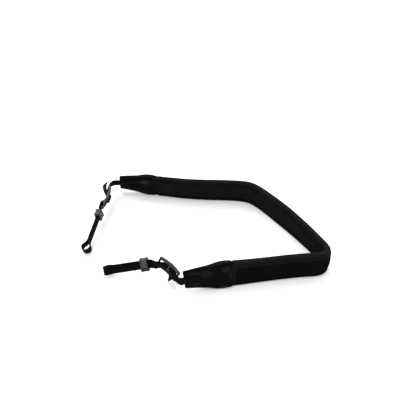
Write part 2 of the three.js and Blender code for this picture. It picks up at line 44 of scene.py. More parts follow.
UP = np.array([0.0, 0.0, 1.0])
TURN, QUARTER = 2 * math.pi, math.pi / 2

# Sizes and places, in millimetres and degrees, as in the solids.

GAP = 0.3
START, START_HEADING, START_LEAN = np.array([-19.05, -77.38]), 7.9, -10
# The strap's way from the near tab's mouth to the far one's: run, turn to the left, lean outwards.
ROUTE = np.array([
    (50, 1, -10),      # near tab
    (45, 0, -8),       # near leg
    (47, -5, -7),
    (13, 40, -7),      # tight bend
    (8, 57, -7),
    (5, 19, -6.5),
    (26, 4.5, -3.5),   # back
    (36, 3.5, 1),
    (28, 0.5, 0.5),
    (21, 6, 0),        # wide bend
    (17, 35, -0.5),
    (16, 6.5, -1),
    (23, 2.5, -1.5),   # far leg
    (25, -3.5, -2.5),
    (24, -5, -3.5),
    (24, 1, -5.5),
    (50, 0, -5.5),     # far tab
])
EASE, ROUTE_STEP = 5, 0.5

BAND = Size(width=34, low=-0.25, top=34.0, round=2.7, half=2.98, end_width=32.2, end_thick=4, full_thick=6,
            swell_from=0.0, swell_to=0.9, in_tab=14, crest=0.8, crest_run=13, crest_from=8)
# Spacing of the band's rings inside the tabs, by the seams and between them, and the seams' reach.
BAND_STEP = Size(inside=3.0, fine=0.5, plain=0.9, margin=10, fine_run=23)
SINK = 0.25
TAB = Size(length=50, slant_from=34, lift=0.6, slot_up=15.2, slot_depth=17, pocket_start=36, corner=2.2,
           hollow_corner=0.7, pocket_rows=(40, 44, 48), mouth_fade=22)
# Distance from the mouth, lower edge, upper edge and thickness.
TAB_SECTION = np.array([
    (0, 5.2, 28.3, 4.6), (1, 5.1, 28.5, 4.8), (11, 4.2, 30.5, 5.0), (20, 2.8, 31.9, 5.5),
    (25, 2.2, 32.5, 6.0), (29, 1.2, 33.6, 6.4), (33, 0.3, 34.6, 6.8), (37, -0.2, 35.2, 7.0),
    (41, -0.3, 35.4, 7.0), (46, -0.2, 35.3, 6.9), (50, 0.1, 34.9, 6.6),
])
# How each tab is cut: its mouth's reach at mid height and more at its upper edge, and how much
# shorter it is on its inner face.
NEAR_CUT = Size(out=0.8, upper=0.8, slant=1)
FAR_CUT = Size(out=0.3, upper=-1.2, slant=6)
# How much thinner the leather gets towards its long edges, where along the tab that changes, and how far
# the outer face flares at the bottom.
TAB_THIN = Size(upper_outer=2.3, upper_inner=0.6, at_seam=0.15, lower=0.6, fade=(24, 36), upper_run=9)
TAB_FLARE = Size(mouth=0.5, seam=1.2, grow=(26, 42), run=(0.5, 6.5))
# The stitched line: its ends, corners and inset, and where the inset widens.
TAB_LINE = Size(first=2.9, last=47.0, corner=3.2, inset_narrow=2.7, inset_wide=5.2, widen=(23, 37))
# The folded edges at the mouth and the seam: how far the section draws in, and over what length.
TAB_LIP = Size(mouth=0.55, mouth_run=0.7, seam=0.2, seam_run=0.5)
# The padded middle inside the stitched line, the line's groove and the low bead outside it.
TAB_RELIEF = Size(pad=0.30, pad_run=(0.4, 5), groove=0.36, pull=0.1, width=0.55, bead=0.10, bead_at=1.5,
                  bead_width=0.9)
# Towards the seam the leather's long edges are pared down to the band.
TAB_PARE = Size(start=43.0, depth=0.45)
# Painted sheen patches, lighter colour that stands in for highlights: face (1 outer, -1 inner), distance
# from the mouth, height in halves of the tab, the two half sizes in the same units, and how strong.
TAB_PAINTED_SHEEN = (
    (1, 11.0, 0.62, 11.0, 0.20, 0.45),
    (1, 22.5, 0.50, 8.0, 0.45, 0.60),
    (1, 43.5, 0.56, 6.0, 0.28, 0.90),
    (1, 48.4, 0.30, 1.4, 0.80, 0.60),
    (1, 41.5, -0.84, 6.5, 0.16, 0.90),
    (1, 11.0, -0.50, 8.0, 0.12, 0.40),
    (-1, 38.0, 0.44, 13.0, 0.28, 1.00),
    (-1, 44.5, -0.82, 5.0, 0.14, 0.55),
    (-1, 27.0, -0.60, 10.0, 0.20, 0.30),
)
SHEEN_EDGE, SHEEN_FACING = 1.15, (0.3, 0.8)
# Widths of the rubbed edges at the mouth, the seam and along the tab, and the tone of the long ones.
TAB_RUB = Size(mouth=0.9, seam=0.7, edge=1.0, tone=0.8)
# The cupped section in the tight bend: depth at mid height, and the place and length of the bend.
CUP = Size(depth=2.0, at=160, length=12)
WEB = Size(width=9.5, thick=1.2, in_tab=15, straight=1)
# Yarns across, length of a pick, height of the crowns, mesh steps, and the round selvedge and sealed end.
WEAVE = Size(yarns=12, pick=1.3, crown=0.10, proud=1.1, step=0.4, samples=36, selvedge=0.5, seal=0.7,
             seal_thin=0.3)
LAYER = WEB.thick + GAP
TAB_BEND_PULL, LEAVE_PULL, KEEPER_PULL = 0.45, 0.1, 0.4
SAG_AT, CURL_FROM = 0.4, 0.3
BUCKLE = Size(length=28, width=16, thick=3.4, bow=2.2, rail=2.9, bar=1.25, pitch=12.3)
# The moulded form: the rails' narrow tips and rounding, the bars' flares and the middle bar's ribs, and the
# grain of the body that they grow into.
BUCKLE_FORM = Size(tip=0.55, corner=0.32, flare=0.18, flare_run=0.8, rib=0.08, rib_pitch=1.3,
                   rib_run=(0.3, 1.0), grain=0.22)
# Where a buckle is lightened, rubbed wear and a painted highlight: along its sides and on top of its bow,
# and how much less on its lower side, where less light falls.
BUCKLE_WEAR_AND_HIGHLIGHT = Size(side=0.7, top=(0.9, 1.4), less=0.75, less_run=5.0)
KEEPER = Size(length=8, wall=2.5, corner=3, edge=0.35)
# The rolled rims, the waist between them, the low ribs on it and the inner lip.
KEEPER_FORM = Size(rim=0.55, roll=0.5, waist=0.34, waist_from=(1.3, 1.9), rib=0.10, rib_pitch=1.35,
                   ribs_to=2.03, lip=0.35)
# Painted shade on a keeper, darker colour for shadow, from its middle: the lower side, the upper one and
# the two rims, and how much.
KEEPER_PAINTED_SHADE = Size(side=(1.8, 3.8), top=(4.6, 6.8), top_tone=0.3, outer=(1.2, 3.2), outer_tone=0.8,
                   inner=(2.2, 3.4), inner_tone=0.5)
LOOP = Size(clear=8, flare=8)
NEAR_END = Size(
    side=1, lug_run=42, tail=14, dip=50, tail_turn=-25, curl=0, leave=40, loose=1.7, swing=10, sag=0.6,
    buckle=Size(at=(-37.75, -61.88, 16.7), heading=144.3, rise=21.2, roll=-10.6),
    keeper=Size(at=(-62.35, -56.88, 18), heading=179.6, rise=-14.4, roll=-41),
)
FAR_END = Size(
    side=-1, lug_run=45, tail=24, dip=40, tail_turn=24, curl=32, leave=0, loose=0, swing=0, sag=0,
    buckle=Size(at=(-121.75, 44.82, 17.5), heading=262, rise=-3, roll=22),
    keeper=Size(at=(-125.65, 18.32, 14.6), heading=260, rise=-11, roll=2),
)

# Sewn panels on the band's two faces: how far they start from the tabs, their edges and corners.
OUTER_PANEL = Size(near=TAB.length + 4.6, far=TAB.length + 4.6, low=3.4, high=25.0, corner=4.0)
INNER_PANEL = Size(near=TAB.length - NEAR_CUT.slant + 3.0, far=TAB.length - FAR_CUT.slant + 3.0,
                   low=5.2, high=28.4, corner=4.0)
TOP_LINE = 4.6       # a second stitch line on the outer face, this far above the panel
SEAM_STITCH = 1.35   # stitches this far outside a panel's edge
# How far a panel sinks and crowns, and its seam's groove.
OUTER_RELIEF = Size(sink=0.26, crown=0.14, groove=0.42, groove_width=0.45)
INNER_RELIEF = Size(sink=0.14, crown=0.16, groove=0.40, groove_width=0.5)
SINK_RUN, CROWN_RUN = (-0.1, 0.45), (1, 8)
# Grooves under the stitches: depth, how much deeper at each stitch, and width.
SEAM_GROOVE = Size(depth=0.10, pull=0.10, width=0.55)
TOP_GROOVE = Size(depth=0.30, pull=0.08, width=0.5, above=(26.5, 28))
# Folds on the inner face, where the strap bends enough.
FOLD = Size(at=214.6, pitch=4.6, depth=0.5, sharp=6, bend=(0.04, 0.10), fade=(2, 8))
# Long soft waves of the padding: height, length along, length up and shift.
SOFT_WAVES = ((0.06, 7.3, 6.0, 0.0), (0.05, 17.0, -4.1, 1.0))
# Tones of the cover: below the inner panel, painted shade at the seams, and a painted highlight where the
# rim lightens; the edges and widths of the toned places.
BAND_TONE = Size(below=0.7, top_line=0.6, outer_seam=0.9, inner_seam=0.7, rim=(30.0, 33.0),
                 panel_edge=(-0.2, 0.3), below_edge=(-0.2, 1.0), top_width=0.5, outer_width=0.6,
                 inner_width=0.7)
STITCH = Size(length=2.1, pitch=2.7, radius=0.24)
TAB_STITCH = Size(length=2.3, pitch=3.1, radius=0.27, lift=0.12)


# Shapes.

def unit(v):
    """Vectors scaled to a length of 1."""
    return v / np.linalg.norm(v, axis=-1, keepdims=True)


def smoothstep(x, low, high):
    """0 below low, 1 above high, and a soft rise between them."""
    t = np.clip((x - low) / (high - low), 0, 1)
    return t * t * (3 - 2 * t)


def ridge(x, width):
    """A bell with a height of 1 at 0."""
    return np.exp(-(x / width) ** 2)


def roundness(x, radius):
    """A quarter circle: 0 at an edge, 1 from radius inwards."""
    return np.sqrt(np.clip(1 - (1 - np.clip(x / radius, 0, 1)) ** 2, 0, 1))


def run_of(line):
    """Distances along a line of points, from its start."""
    return np.concatenate([[0], np.cumsum(np.linalg.norm(np.diff(line, axis=0), axis=1))])


def in_order(*runs):
    """The places of several runs in one row, each place once."""
    return np.unique(np.round(np.concatenate(runs), 4))


def points_at(at, far, line):
    """Points of a line at some distances; far holds the distances of its own points."""
    return np.stack([np.interp(at, far, line[:, k]) for k in range(line.shape[1])], axis=1)


def rounded_box(x, y, half_x, half_y, radius):
    """Signed distance to a rectangle with round corners, negative inside."""
    qx = np.abs(x) - half_x + radius
    qy = np.abs(y) - half_y + radius
    return np.hypot(np.maximum(qx, 0), np.maximum(qy, 0)) + np.minimum(np.maximum(qx, qy), 0) - radius


S_ROWS = np.concatenate([[0], np.cumsum(ROUTE[:, 0])])
HEADING_ROWS = START_HEADING + np.concatenate([[0], np.cumsum(ROUTE[:, 1])])
LEAN_ROWS = np.concatenate([[START_LEAN], ROUTE[:, 2]])
STRAP_LENGTH = S_ROWS[-1]


def heading_at(s):
    """The strap's heading in degrees, eased over the route's corners."""
    return np.mean([np.interp(s + k * EASE, S_ROWS, HEADING_ROWS) for k in (-1, -0.5, 0, 0.5, 1)], axis=0)


STEPS = np.arange(0, STRAP_LENGTH + ROUTE_STEP / 2, ROUTE_STEP)
STEP_WAYS = np.radians(heading_at(STEPS[:-1] + ROUTE_STEP / 2))
PLACES = START + np.concatenate(
    [[[0, 0]], np.cumsum(ROUTE_STEP * np.stack([np.cos(STEP_WAYS), np.sin(STEP_WAYS)], axis=1), axis=0)]
)


def strap_frames(s):
    """Floor point, way, upward edge and outward face of the strap at distances s."""
    s = np.asarray(s, float)
    way, lean = np.radians(heading_at(s)), np.radians(np.interp(s, S_ROWS, LEAN_ROWS))
    zero = np.zeros_like(way)
    along = np.stack([np.cos(way), np.sin(way), zero], axis=-1)
    level = np.stack([np.sin(way), -np.cos(way), zero], axis=-1)
    x, y = (np.interp(s, STEPS, PLACES[:, k]) for k in (0, 1))
    origin = np.stack([x, y, zero], axis=-1)
    origin = origin + along * (s - np.clip(s, 0, STRAP_LENGTH))[..., None]
    up = level * np.sin(lean)[..., None] + UP * np.cos(lean)[..., None]
    face = level * np.cos(lean)[..., None] - UP * np.sin(lean)[..., None]
    return origin, along, up, face


def strap_points(s, out, up):
    """Points of the strap's sections. The soft resting edge presses flat on the floor."""
    origin, _, upward, face = strap_frames(s)
    points = origin + face * out[..., None] + upward * up[..., None]
    points[..., 2] = np.maximum(0, points[..., 2] - SINK)
    return points


def loft_faces(rings, count, closed=False):
    """Quads through rings of points, each ring closed; closed also joins the last ring to the first."""
    i = np.arange(rings if closed else rings - 1)[:, None]
    j = np.arange(count)[None, :]
    near, far = i * count, (i + 1) % rings * count
    right = (j + 1) % count
    return np.stack([near + j, near + right, far + right, far + j], axis=-1).reshape(-1, 4)


def loft_map(along, girth):
    """Corner coordinates for loft_faces in millimetres: along by rings, girth round a ring."""
    u = np.broadcast_to(along[:, None], (len(along), len(girth)))
    v = np.broadcast_to(girth[None, :], (len(along), len(girth)))
    grid = np.stack([u, v], axis=-1)
    return np.stack([grid[:-1, :-1], grid[:-1, 1:], grid[1:, 1:], grid[1:, :-1]], axis=2).reshape(-1, 4, 2)


def girth_of(ring):
    """Distances round a ring of points, back to its start."""
    return run_of(np.concatenate([ring, ring[:1]]))


def end_caps(rings, count):
    """The two end faces of an open loft."""
    return [range(count - 1, -1, -1), range((rings - 1) * count, rings * count)]


def add_object(name, data):
    """A new object in the scene."""
    made = bpy.data.objects.new(name, data)
    scene.collection.objects.link(made)
    return made


def dress(name, mesh, look, masks):
    """An object of a mesh with masks on its points, smooth faces and one finish."""
    for mask, values in masks.items():
        layer = mesh.attributes.new(mask, "FLOAT", "POINT")
        layer.data.foreach_set("value", np.asarray(values, np.float32).ravel())
    mesh.polygons.foreach_set("use_smooth", [True] * len(mesh.polygons))
    mesh.materials.clear()
    mesh.materials.append(look)
    return add_object(name, mesh)


def make_piece(name, points, faces, look, caps=(), corners=None, masks=None):
    """A smooth mesh object, faces turned outwards; corners become the map called Weave."""
    points = np.asarray(points, float).reshape(-1, 3)
    a, b, c, d = (points[faces[:, k]] for k in range(4))
    volume = np.sum(np.cross(a, b) * c) + np.sum(np.cross(a, c) * d)
    caps = [list(cap) for cap in caps]
    if volume < 0:
        faces, caps = faces[:, ::-1], [cap[::-1] for cap in caps]
        corners = None if corners is None else corners[:, ::-1]
    mesh = bpy.data.meshes.new(name)
    mesh.from_pydata((points * MM).tolist(), [], faces.tolist() + caps)
    if corners is not None:
        spare = sum(len(cap) for cap in caps)
        flat = np.concatenate([corners.reshape(-1, 2), np.zeros((spare, 2))])
        mesh.uv_layers.new(name="Weave").data.foreach_set("uv", flat.astype(np.float32).ravel())
    return dress(name, mesh, look, masks or {})


def finish_piece(piece, slot, *nodes):
    """Puts a piece on the strap and hides the solids that it stands for; slot is not used."""
    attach(piece, "root")
    if nodes:
        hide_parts(*nodes)
    return piece


# Materials.

class Look:
    """A node material: constants go on the shader's sockets, patterns come from nodes added here."""

    def __init__(self, name, **sockets):
        self.material = bpy.data.materials.new(name)
        self.material.use_nodes = True
        self.nodes, self.links = self.material.node_tree.nodes, self.material.node_tree.links
        self.shader = self.nodes["Principled BSDF"]
        for socket, value in sockets.items():
            self.shader.inputs[socket.replace("_", " ")].default_value = value
        self.place = self.node("TexCoord").outputs["Object"]
        weave = self.node("UVMap")
        weave.uv_map = "Weave"
        parts = self.node("SeparateXYZ", Vector=weave.outputs["UV"])
        self.along, self.across = parts.outputs["X"], parts.outputs["Y"]

    def put(self, value, socket):
        """Links a node to a socket, or sets the socket to a constant."""
        if isinstance(value, bpy.types.NodeSocket):
            self.links.new(value, socket)
        else:
            socket.default_value = value

    def node(self, kind, **sockets):
        """A new node, with values or links on its sockets."""
        made = self.nodes.new("ShaderNode" + kind)
        for socket, value in sockets.items():
            self.put(value, made.inputs[socket])
        return made

    def math(self, operation, a, b=0.0):
        """One step of arithmetic."""
        made = self.node("Math")
        made.operation = operation
        self.put(a, made.inputs[0])
        self.put(b, made.inputs[1])
        return made.outputs[0]

    def times(self, a, b):
        """Product of two values."""
        return self.math("MULTIPLY", a, b)

    def plus(self, a, b):
        """Sum of two values."""
        return self.math("ADD", a, b)

    def wave(self, value, pitch, shift=0.0):
        """Sine of a coordinate in millimetres, from -1 to 1."""
        turned = self.plus(self.times(value, TURN / pitch), shift)
        return self.math("SINE", turned)

    def noise(self, size, detail=2.0, roughness=0.5):
        """Noise whose features are about size millimetres across."""
        scale = 1 / (size * MM)
        made = self.node("TexNoise", Vector=self.place, Scale=scale, Detail=detail, Roughness=roughness)
        return made.outputs["Fac"]

    def cells(self, size):
        """Distance to the edges of irregular cells about size millimetres across."""
        made = self.node("TexVoronoi", Vector=self.place, Scale=1 / (size * MM))
        made.feature = "DISTANCE_TO_EDGE"
        return made.outputs["Distance"]

    def mask(self, name):
        """A mask kept on the mesh's points."""
        made = self.node("Attribute")
        made.attribute_name = name
        return made.outputs["Fac"]

    def span(self, value, low, high, to_low=0.0, to_high=1.0):
        """Maps low to high onto to_low to to_high."""
        made = self.node("MapRange")
        for socket, number in zip(made.inputs[1:5], (low, high, to_low, to_high)):
            socket.default_value = number
        self.put(value, made.inputs[0])
        return made.outputs[0]

    def blend(self, factor, a, b):
        """Mixes colour a into colour b by factor."""
        made = self.node("Mix", Factor=factor)
        made.data_type = "RGBA"
        self.put(a, made.inputs[6])
        self.put(b, made.inputs[7])
        return made.outputs[2]

    def bump(self, height, depth, strength=1.0):
        """Bump whose height of 1 stands depth millimetres proud."""
        made = self.node("Bump", Strength=strength, Distance=depth * MM, Height=height)
        self.links.new(made.outputs["Normal"], self.shader.inputs["Normal"])

    def colour(self, value):
        """The surface's own colour."""
        self.put(value, self.shader.inputs["Base Color"])

    def roughness(self, value):
        """How matt the surface is."""
        self.put(value, self.shader.inputs["Roughness"])


def grey(value, warm=0.0):
    """A grey, warmer or cooler by a share of itself."""
    return (value * (1 + warm), value, value * (1 - warm), 1.0)


def jersey_look():
    """Knitted cover of the band: panels darker and matt, binding smoother and lighter, top rim with a
    painted highlight, seams with painted shade.
    """
    look = Look("knit_jersey", Specular_IOR_Level=0.0, Sheen_Weight=0.022, Sheen_Roughness=0.4,
                Sheen_Tint=grey(0.55))
    lean = look.times(look.wave(look.across, 0.9), 1.1)
    wales = look.math("SINE", look.plus(look.times(look.along, TURN / 0.62), lean))
    courses = look.wave(look.across, 0.45)
    knit = look.plus(look.times(wales, 0.35), look.times(courses, 0.15))
    fuzz = look.noise(0.35, 3.0, 0.6)
    soft = look.noise(14.0, 3.0)
    shade = look.span(look.plus(look.times(knit, 0.5), soft), 0.1, 0.9)
    binding = look.blend(shade, grey(0.0056), grey(0.0125))
    panel = look.blend(shade, grey(0.0032), grey(0.0062))
    # Painted highlight: the top rim is lighter, as if it caught the light from above.
    rim = look.blend(shade, grey(0.0075), grey(0.0165))
    cloth = look.blend(look.mask("panel"), look.blend(look.mask("rim"), binding, rim), panel)
    # Painted shade: the seam grooves and the top stitch line darken to near black.
    look.colour(look.blend(look.mask("seam"), cloth, grey(0.0008)))
    look.roughness(look.span(soft, 0.2, 0.8, 0.72, 0.9))
    look.bump(look.plus(knit, look.times(fuzz, 0.5)), 0.09, 0.8)
    return look.material


def leather_look():
    """Coated leather of the tabs: pebble grain, a soft shine, painted sheen patches, and lighter rubbed
    edges.
    """
    look = Look("tab_leather", Specular_IOR_Level=0.02)
    grain = look.span(look.cells(0.85), 0.0, 0.32)
    fine = look.noise(0.5, 4.0, 0.6)
    cloud = look.noise(11.0, 3.0)
    dull = look.blend(look.span(cloud, 0.25, 0.75), grey(0.0009), grey(0.0020, 0.02))
    blotch = look.span(look.noise(4.5, 4.0), 0.25, 0.7, 0.15, 1.0)
    # Painted sheen: lighter patches in the colour stand in for highlights on the leather.
    sheen_patches = look.times(look.mask("painted_sheen"), blotch)
    base = look.blend(sheen_patches, dull, grey(0.034, 0.02))
    rubbed = look.times(look.mask("rubbed"), look.span(fine, 0.3, 0.75))
    look.colour(look.blend(rubbed, base, grey(0.013, 0.03)))
    matt = look.plus(look.times(fine, 0.5), cloud)
    look.roughness(look.span(matt, 0.4, 1.1, 0.36, 0.56))
    look.bump(look.plus(grain, look.times(fine, 0.4)), 0.07, 0.7)
    return look.material


def webbing_look():
    """Woven nylon: single yarns differ a little, and the crowns of the yarns shine."""
    look = Look("woven_webbing", Specular_IOR_Level=0.03, Sheen_Weight=0.01, Sheen_Roughness=0.4,
                Sheen_Tint=grey(0.5))
    yarn = look.noise(0.9, 2.0)
    twist = look.wave(look.plus(look.along, look.times(look.across, 0.6)), 0.28)
    shade = look.plus(look.span(yarn, 0.25, 0.75), look.times(twist, 0.18))
    look.colour(look.blend(look.span(shade, 0.0, 1.1), grey(0.0019), grey(0.0050)))
    look.roughness(look.span(yarn, 0.2, 0.8, 0.55, 0.75))
    look.bump(look.plus(look.times(twist, 0.5), yarn), 0.05, 0.7)
    return look.material


def plastic_look():
    """Moulded plastic of the buckles: a fine spark-eroded texture, lighter at its sides and bow, rubbed
    wear with a painted highlight.
    """
    look = Look("moulded_plastic", Specular_IOR_Level=0.3)
    fine = look.noise(0.3, 3.0, 0.6)
    cloud = look.noise(5.0, 3.0)
    base = look.blend(look.span(cloud, 0.3, 0.7), grey(0.006), grey(0.011))
    # Rubbed wear and painted highlight: the sides and bow are lightened, less on the lower side.
    rubbed = look.times(look.mask("rubbed"), look.span(cloud, 0.3, 0.6))
    look.colour(look.blend(rubbed, base, grey(0.045)))
    look.roughness(look.span(fine, 0.2, 0.8, 0.34, 0.52))
    look.bump(fine, 0.035, 0.7)
    return look.material


def rubber_look():
    """Grey rubber of the keepers: dull, with a fine pebble, and painted shade at the lower side and the
    rims.
    """
    look = Look("keeper_rubber", Specular_IOR_Level=0.4)
    fine = look.noise(0.28, 3.0, 0.6)
    cloud = look.noise(3.0, 3.0)
    unshaded_tone = look.blend(look.span(cloud, 0.25, 0.75), grey(0.050), grey(0.072))
    # Painted shade: the colour darkens where shadow would fall on the keeper.
    painted_shade = look.times(look.mask("painted_shade"), look.span(cloud, 0.1, 0.5, 0.7, 1.0))
    look.colour(look.blend(painted_shade, unshaded_tone, grey(0.010)))
    look.roughness(look.span(fine, 0.2, 0.8, 0.5, 0.68))
    look.bump(fine, 0.05, 0.6)
    return look.material


def thread_look():
    """Bonded sewing thread, with the twist of its plies."""
    look = Look("sewing_thread", Specular_IOR_Level=0.12)
    ply = look.wave(look.plus(look.along, look.across), 0.34)
    look.colour(look.blend(look.span(ply, -1.0, 1.0), grey(0.0035), grey(0.0085)))
    look.roughness(look.span(look.noise(1.0), 0.2, 0.8, 0.45, 0.6))
    look.bump(ply, 0.04, 0.8)
    return look.material


# Stitches: short threads that rise out of the cloth and dive back into it.

def march(line, pitch):
    """Middles and ways of stitches along a line of points, spaced as near to pitch as fits."""
    far, near = run_of(line), 0.3
    count = max(1, int(round(far[-1] / pitch)))
    at = (np.arange(count) + 0.5) * far[-1] / count
    ahead, behind = np.minimum(at + near, far[-1]), np.maximum(at - near, 0)
    return points_at(at, far, line), points_at(ahead, far, line) - points_at(behind, far, line)


def stitch_mesh(middles, ways, normals, size):
    """Points, faces and corner coordinates of stitches at middles, along ways, lying on normals."""
    sides, sections = 7, 7
    blunt, plump, rise, dive = 0.96, 0.7, 0.75, 1.5
    t = np.linspace(-1, 1, sections)
    reach = t * size.length / 2
    girth = size.radius * np.sqrt(1 - (blunt * t) ** 2) ** plump
    height = size.radius * (rise - dive * t ** 2)
    angle = np.arange(sides) * TURN / sides
    x = np.repeat(reach, sides)
    y = (girth[:, None] * np.cos(angle)).ravel()
    z = (height[:, None] + girth[:, None] * np.sin(angle)).ravel()
    ways = unit(ways - normals * np.sum(ways * normals, axis=1, keepdims=True))
    wide = np.cross(normals, ways)
    points = (middles[:, None] + x[:, None] * ways[:, None] + y[:, None] * wide[:, None]
              + z[:, None] * normals[:, None])
    count = sides * sections
    first = np.arange(len(middles))[:, None, None] * count
    faces = (loft_faces(sections, sides)[None] + first).reshape(-1, 4)
    corners = np.tile(loft_map(reach, np.arange(sides + 1) * 0.2), (len(middles), 1, 1))
    caps = []
    for k in range(len(middles)):
        caps.append(range(k * count + sides - 1, k * count - 1, -1))
        caps.append(range((k + 1) * count - sides, (k + 1) * count))
    return points.reshape(-1, 3), faces, caps, corners


def make_stitches(name, threads, size, look, slot):
    """One piece of all the stitches of some seams: the middles, ways and normals of each seam."""
    points, faces, caps, corners = stitch_mesh(*(np.concatenate(x) for x in zip(*threads)), size)
    finish_piece(make_piece(name, points, faces, look, caps, corners), slot)


def rounded_path(x0, x1, y0, y1, radius, step=0.25):
    """Points round a rectangle with round corners, closed."""
    turn = np.linspace(0, QUARTER, 16)
    path = []
    for k, (x, y) in enumerate([(x1 - radius, y1 - radius), (x0 + radius, y1 - radius),
                                (x0 + radius, y0 + radius), (x1 - radius, y0 + radius)]):
        angle = turn + k * QUARTER
        path.append(np.stack([x + radius * np.cos(angle), y + radius * np.sin(angle)], axis=1))
    path = np.concatenate(path + [path[0][:1]])
    far = run_of(path)
    return points_at(np.linspace(0, far[-1], int(far[-1] / step)), far, path)


# Band.

def panel_distance(s, up, panel):
    """Signed distance to a sewn panel's edge on the band, negative inside."""
    first, last = panel.near, STRAP_LENGTH - panel.far
    low, high = panel.low, panel.high
    return rounded_box(s - (first + last) / 2, up - (low + high) / 2, (last - first) / 2, (high - low) / 2,
                       panel.corner)


def band_half(s, up, side):
    """Half thickness of the padded section with its seams, panel and puckers, on one of its faces."""
    edge = np.minimum(up - BAND.low, BAND.top - up)
    pull = 0.5 + 0.5 * np.cos(TURN * s / STITCH.pitch)
    soft = sum(high * np.sin(s / run + up / rise + shift) for high, run, rise, shift in SOFT_WAVES)
    panel, size = (OUTER_PANEL, OUTER_RELIEF) if side > 0 else (INNER_PANEL, INNER_RELIEF)
    d = panel_distance(s, up, panel)
    relief = -size.sink * smoothstep(-d, *SINK_RUN) + size.crown * smoothstep(-d, *CROWN_RUN)
    relief = relief - size.groove * ridge(d, size.groove_width)
    if side > 0:
        groove = TOP_GROOVE.depth + TOP_GROOVE.pull * pull
        relief -= smoothstep(up, *TOP_GROOVE.above) * groove * ridge(d - TOP_LINE, TOP_GROOVE.width)
    groove = SEAM_GROOVE.depth + SEAM_GROOVE.pull * pull
    relief -= groove * ridge(d - SEAM_STITCH, SEAM_GROOVE.width)
    if side < 0:
        bend = np.radians(heading_at(s + 1) - heading_at(s - 1)) / 2
        fold = np.abs(np.cos(math.pi * (s - FOLD.at) / FOLD.pitch)) ** FOLD.sharp
        relief -= FOLD.depth * smoothstep(bend, *FOLD.bend) * fold * smoothstep(edge, *FOLD.fade)
    return roundness(edge, BAND.round) * (BAND.half + relief + soft)


def band_points(s, up, side):
    """Points on the band's outer (side 1) or inner (side -1) face; its ends are pinched into the tabs."""
    outside = np.minimum(s, STRAP_LENGTH - s) - TAB.length
    full = smoothstep(outside, BAND.swell_from, BAND.swell_to)
    high = BAND.end_width / BAND.width * (1 - full) + full
    shorter = np.where(s < STRAP_LENGTH / 2, NEAR_CUT.slant, FAR_CUT.slant) * (side < 0)
    full_here = smoothstep(outside + shorter, BAND.swell_from, BAND.swell_to)
    thick = BAND.end_thick / BAND.full_thick * (1 - full_here) + full_here
    middle = BAND.width / 2
    lifted = middle + (up - middle) * high + TAB.lift * (1 - full)
    crest = BAND.crest * full * ridge(outside, BAND.crest_run)
    lifted = lifted + crest * smoothstep(up, BAND.crest_from, BAND.width)
    cup = CUP.depth * ridge(s - CUP.at, CUP.length) * (1 - (up / middle - 1) ** 2)
    return strap_points(s, side * band_half(s, up, side) * thick + cup, lifted)


def band_ups(panel, lines):
    """Heights at which the section is drawn: close together at the round edges, seams and stitch lines."""
    turn = np.linspace(0, QUARTER, 9)
    bottom = BAND.low + BAND.round * (1 - np.cos(turn))
    top = BAND.top - BAND.round * (1 - np.cos(turn))
    near = np.array([-0.9, -0.55, -0.3, -0.1, 0.1, 0.3, 0.55, 0.9])
    seams = [line + near for line in lines]
    corners = [panel.low + np.arange(1.4, 4.5, 0.5), panel.high - np.arange(1.4, 4.5, 0.5)]
    ups = np.concatenate([bottom, top, *seams, *corners, np.arange(6, 29, 2.2)])
    ups = np.sort(ups[(ups >= BAND.low) & (ups <= BAND.top)])
    keep = np.concatenate([[True], np.diff(ups) > 0.12])
    keep[-1] = True
    return ups[keep]


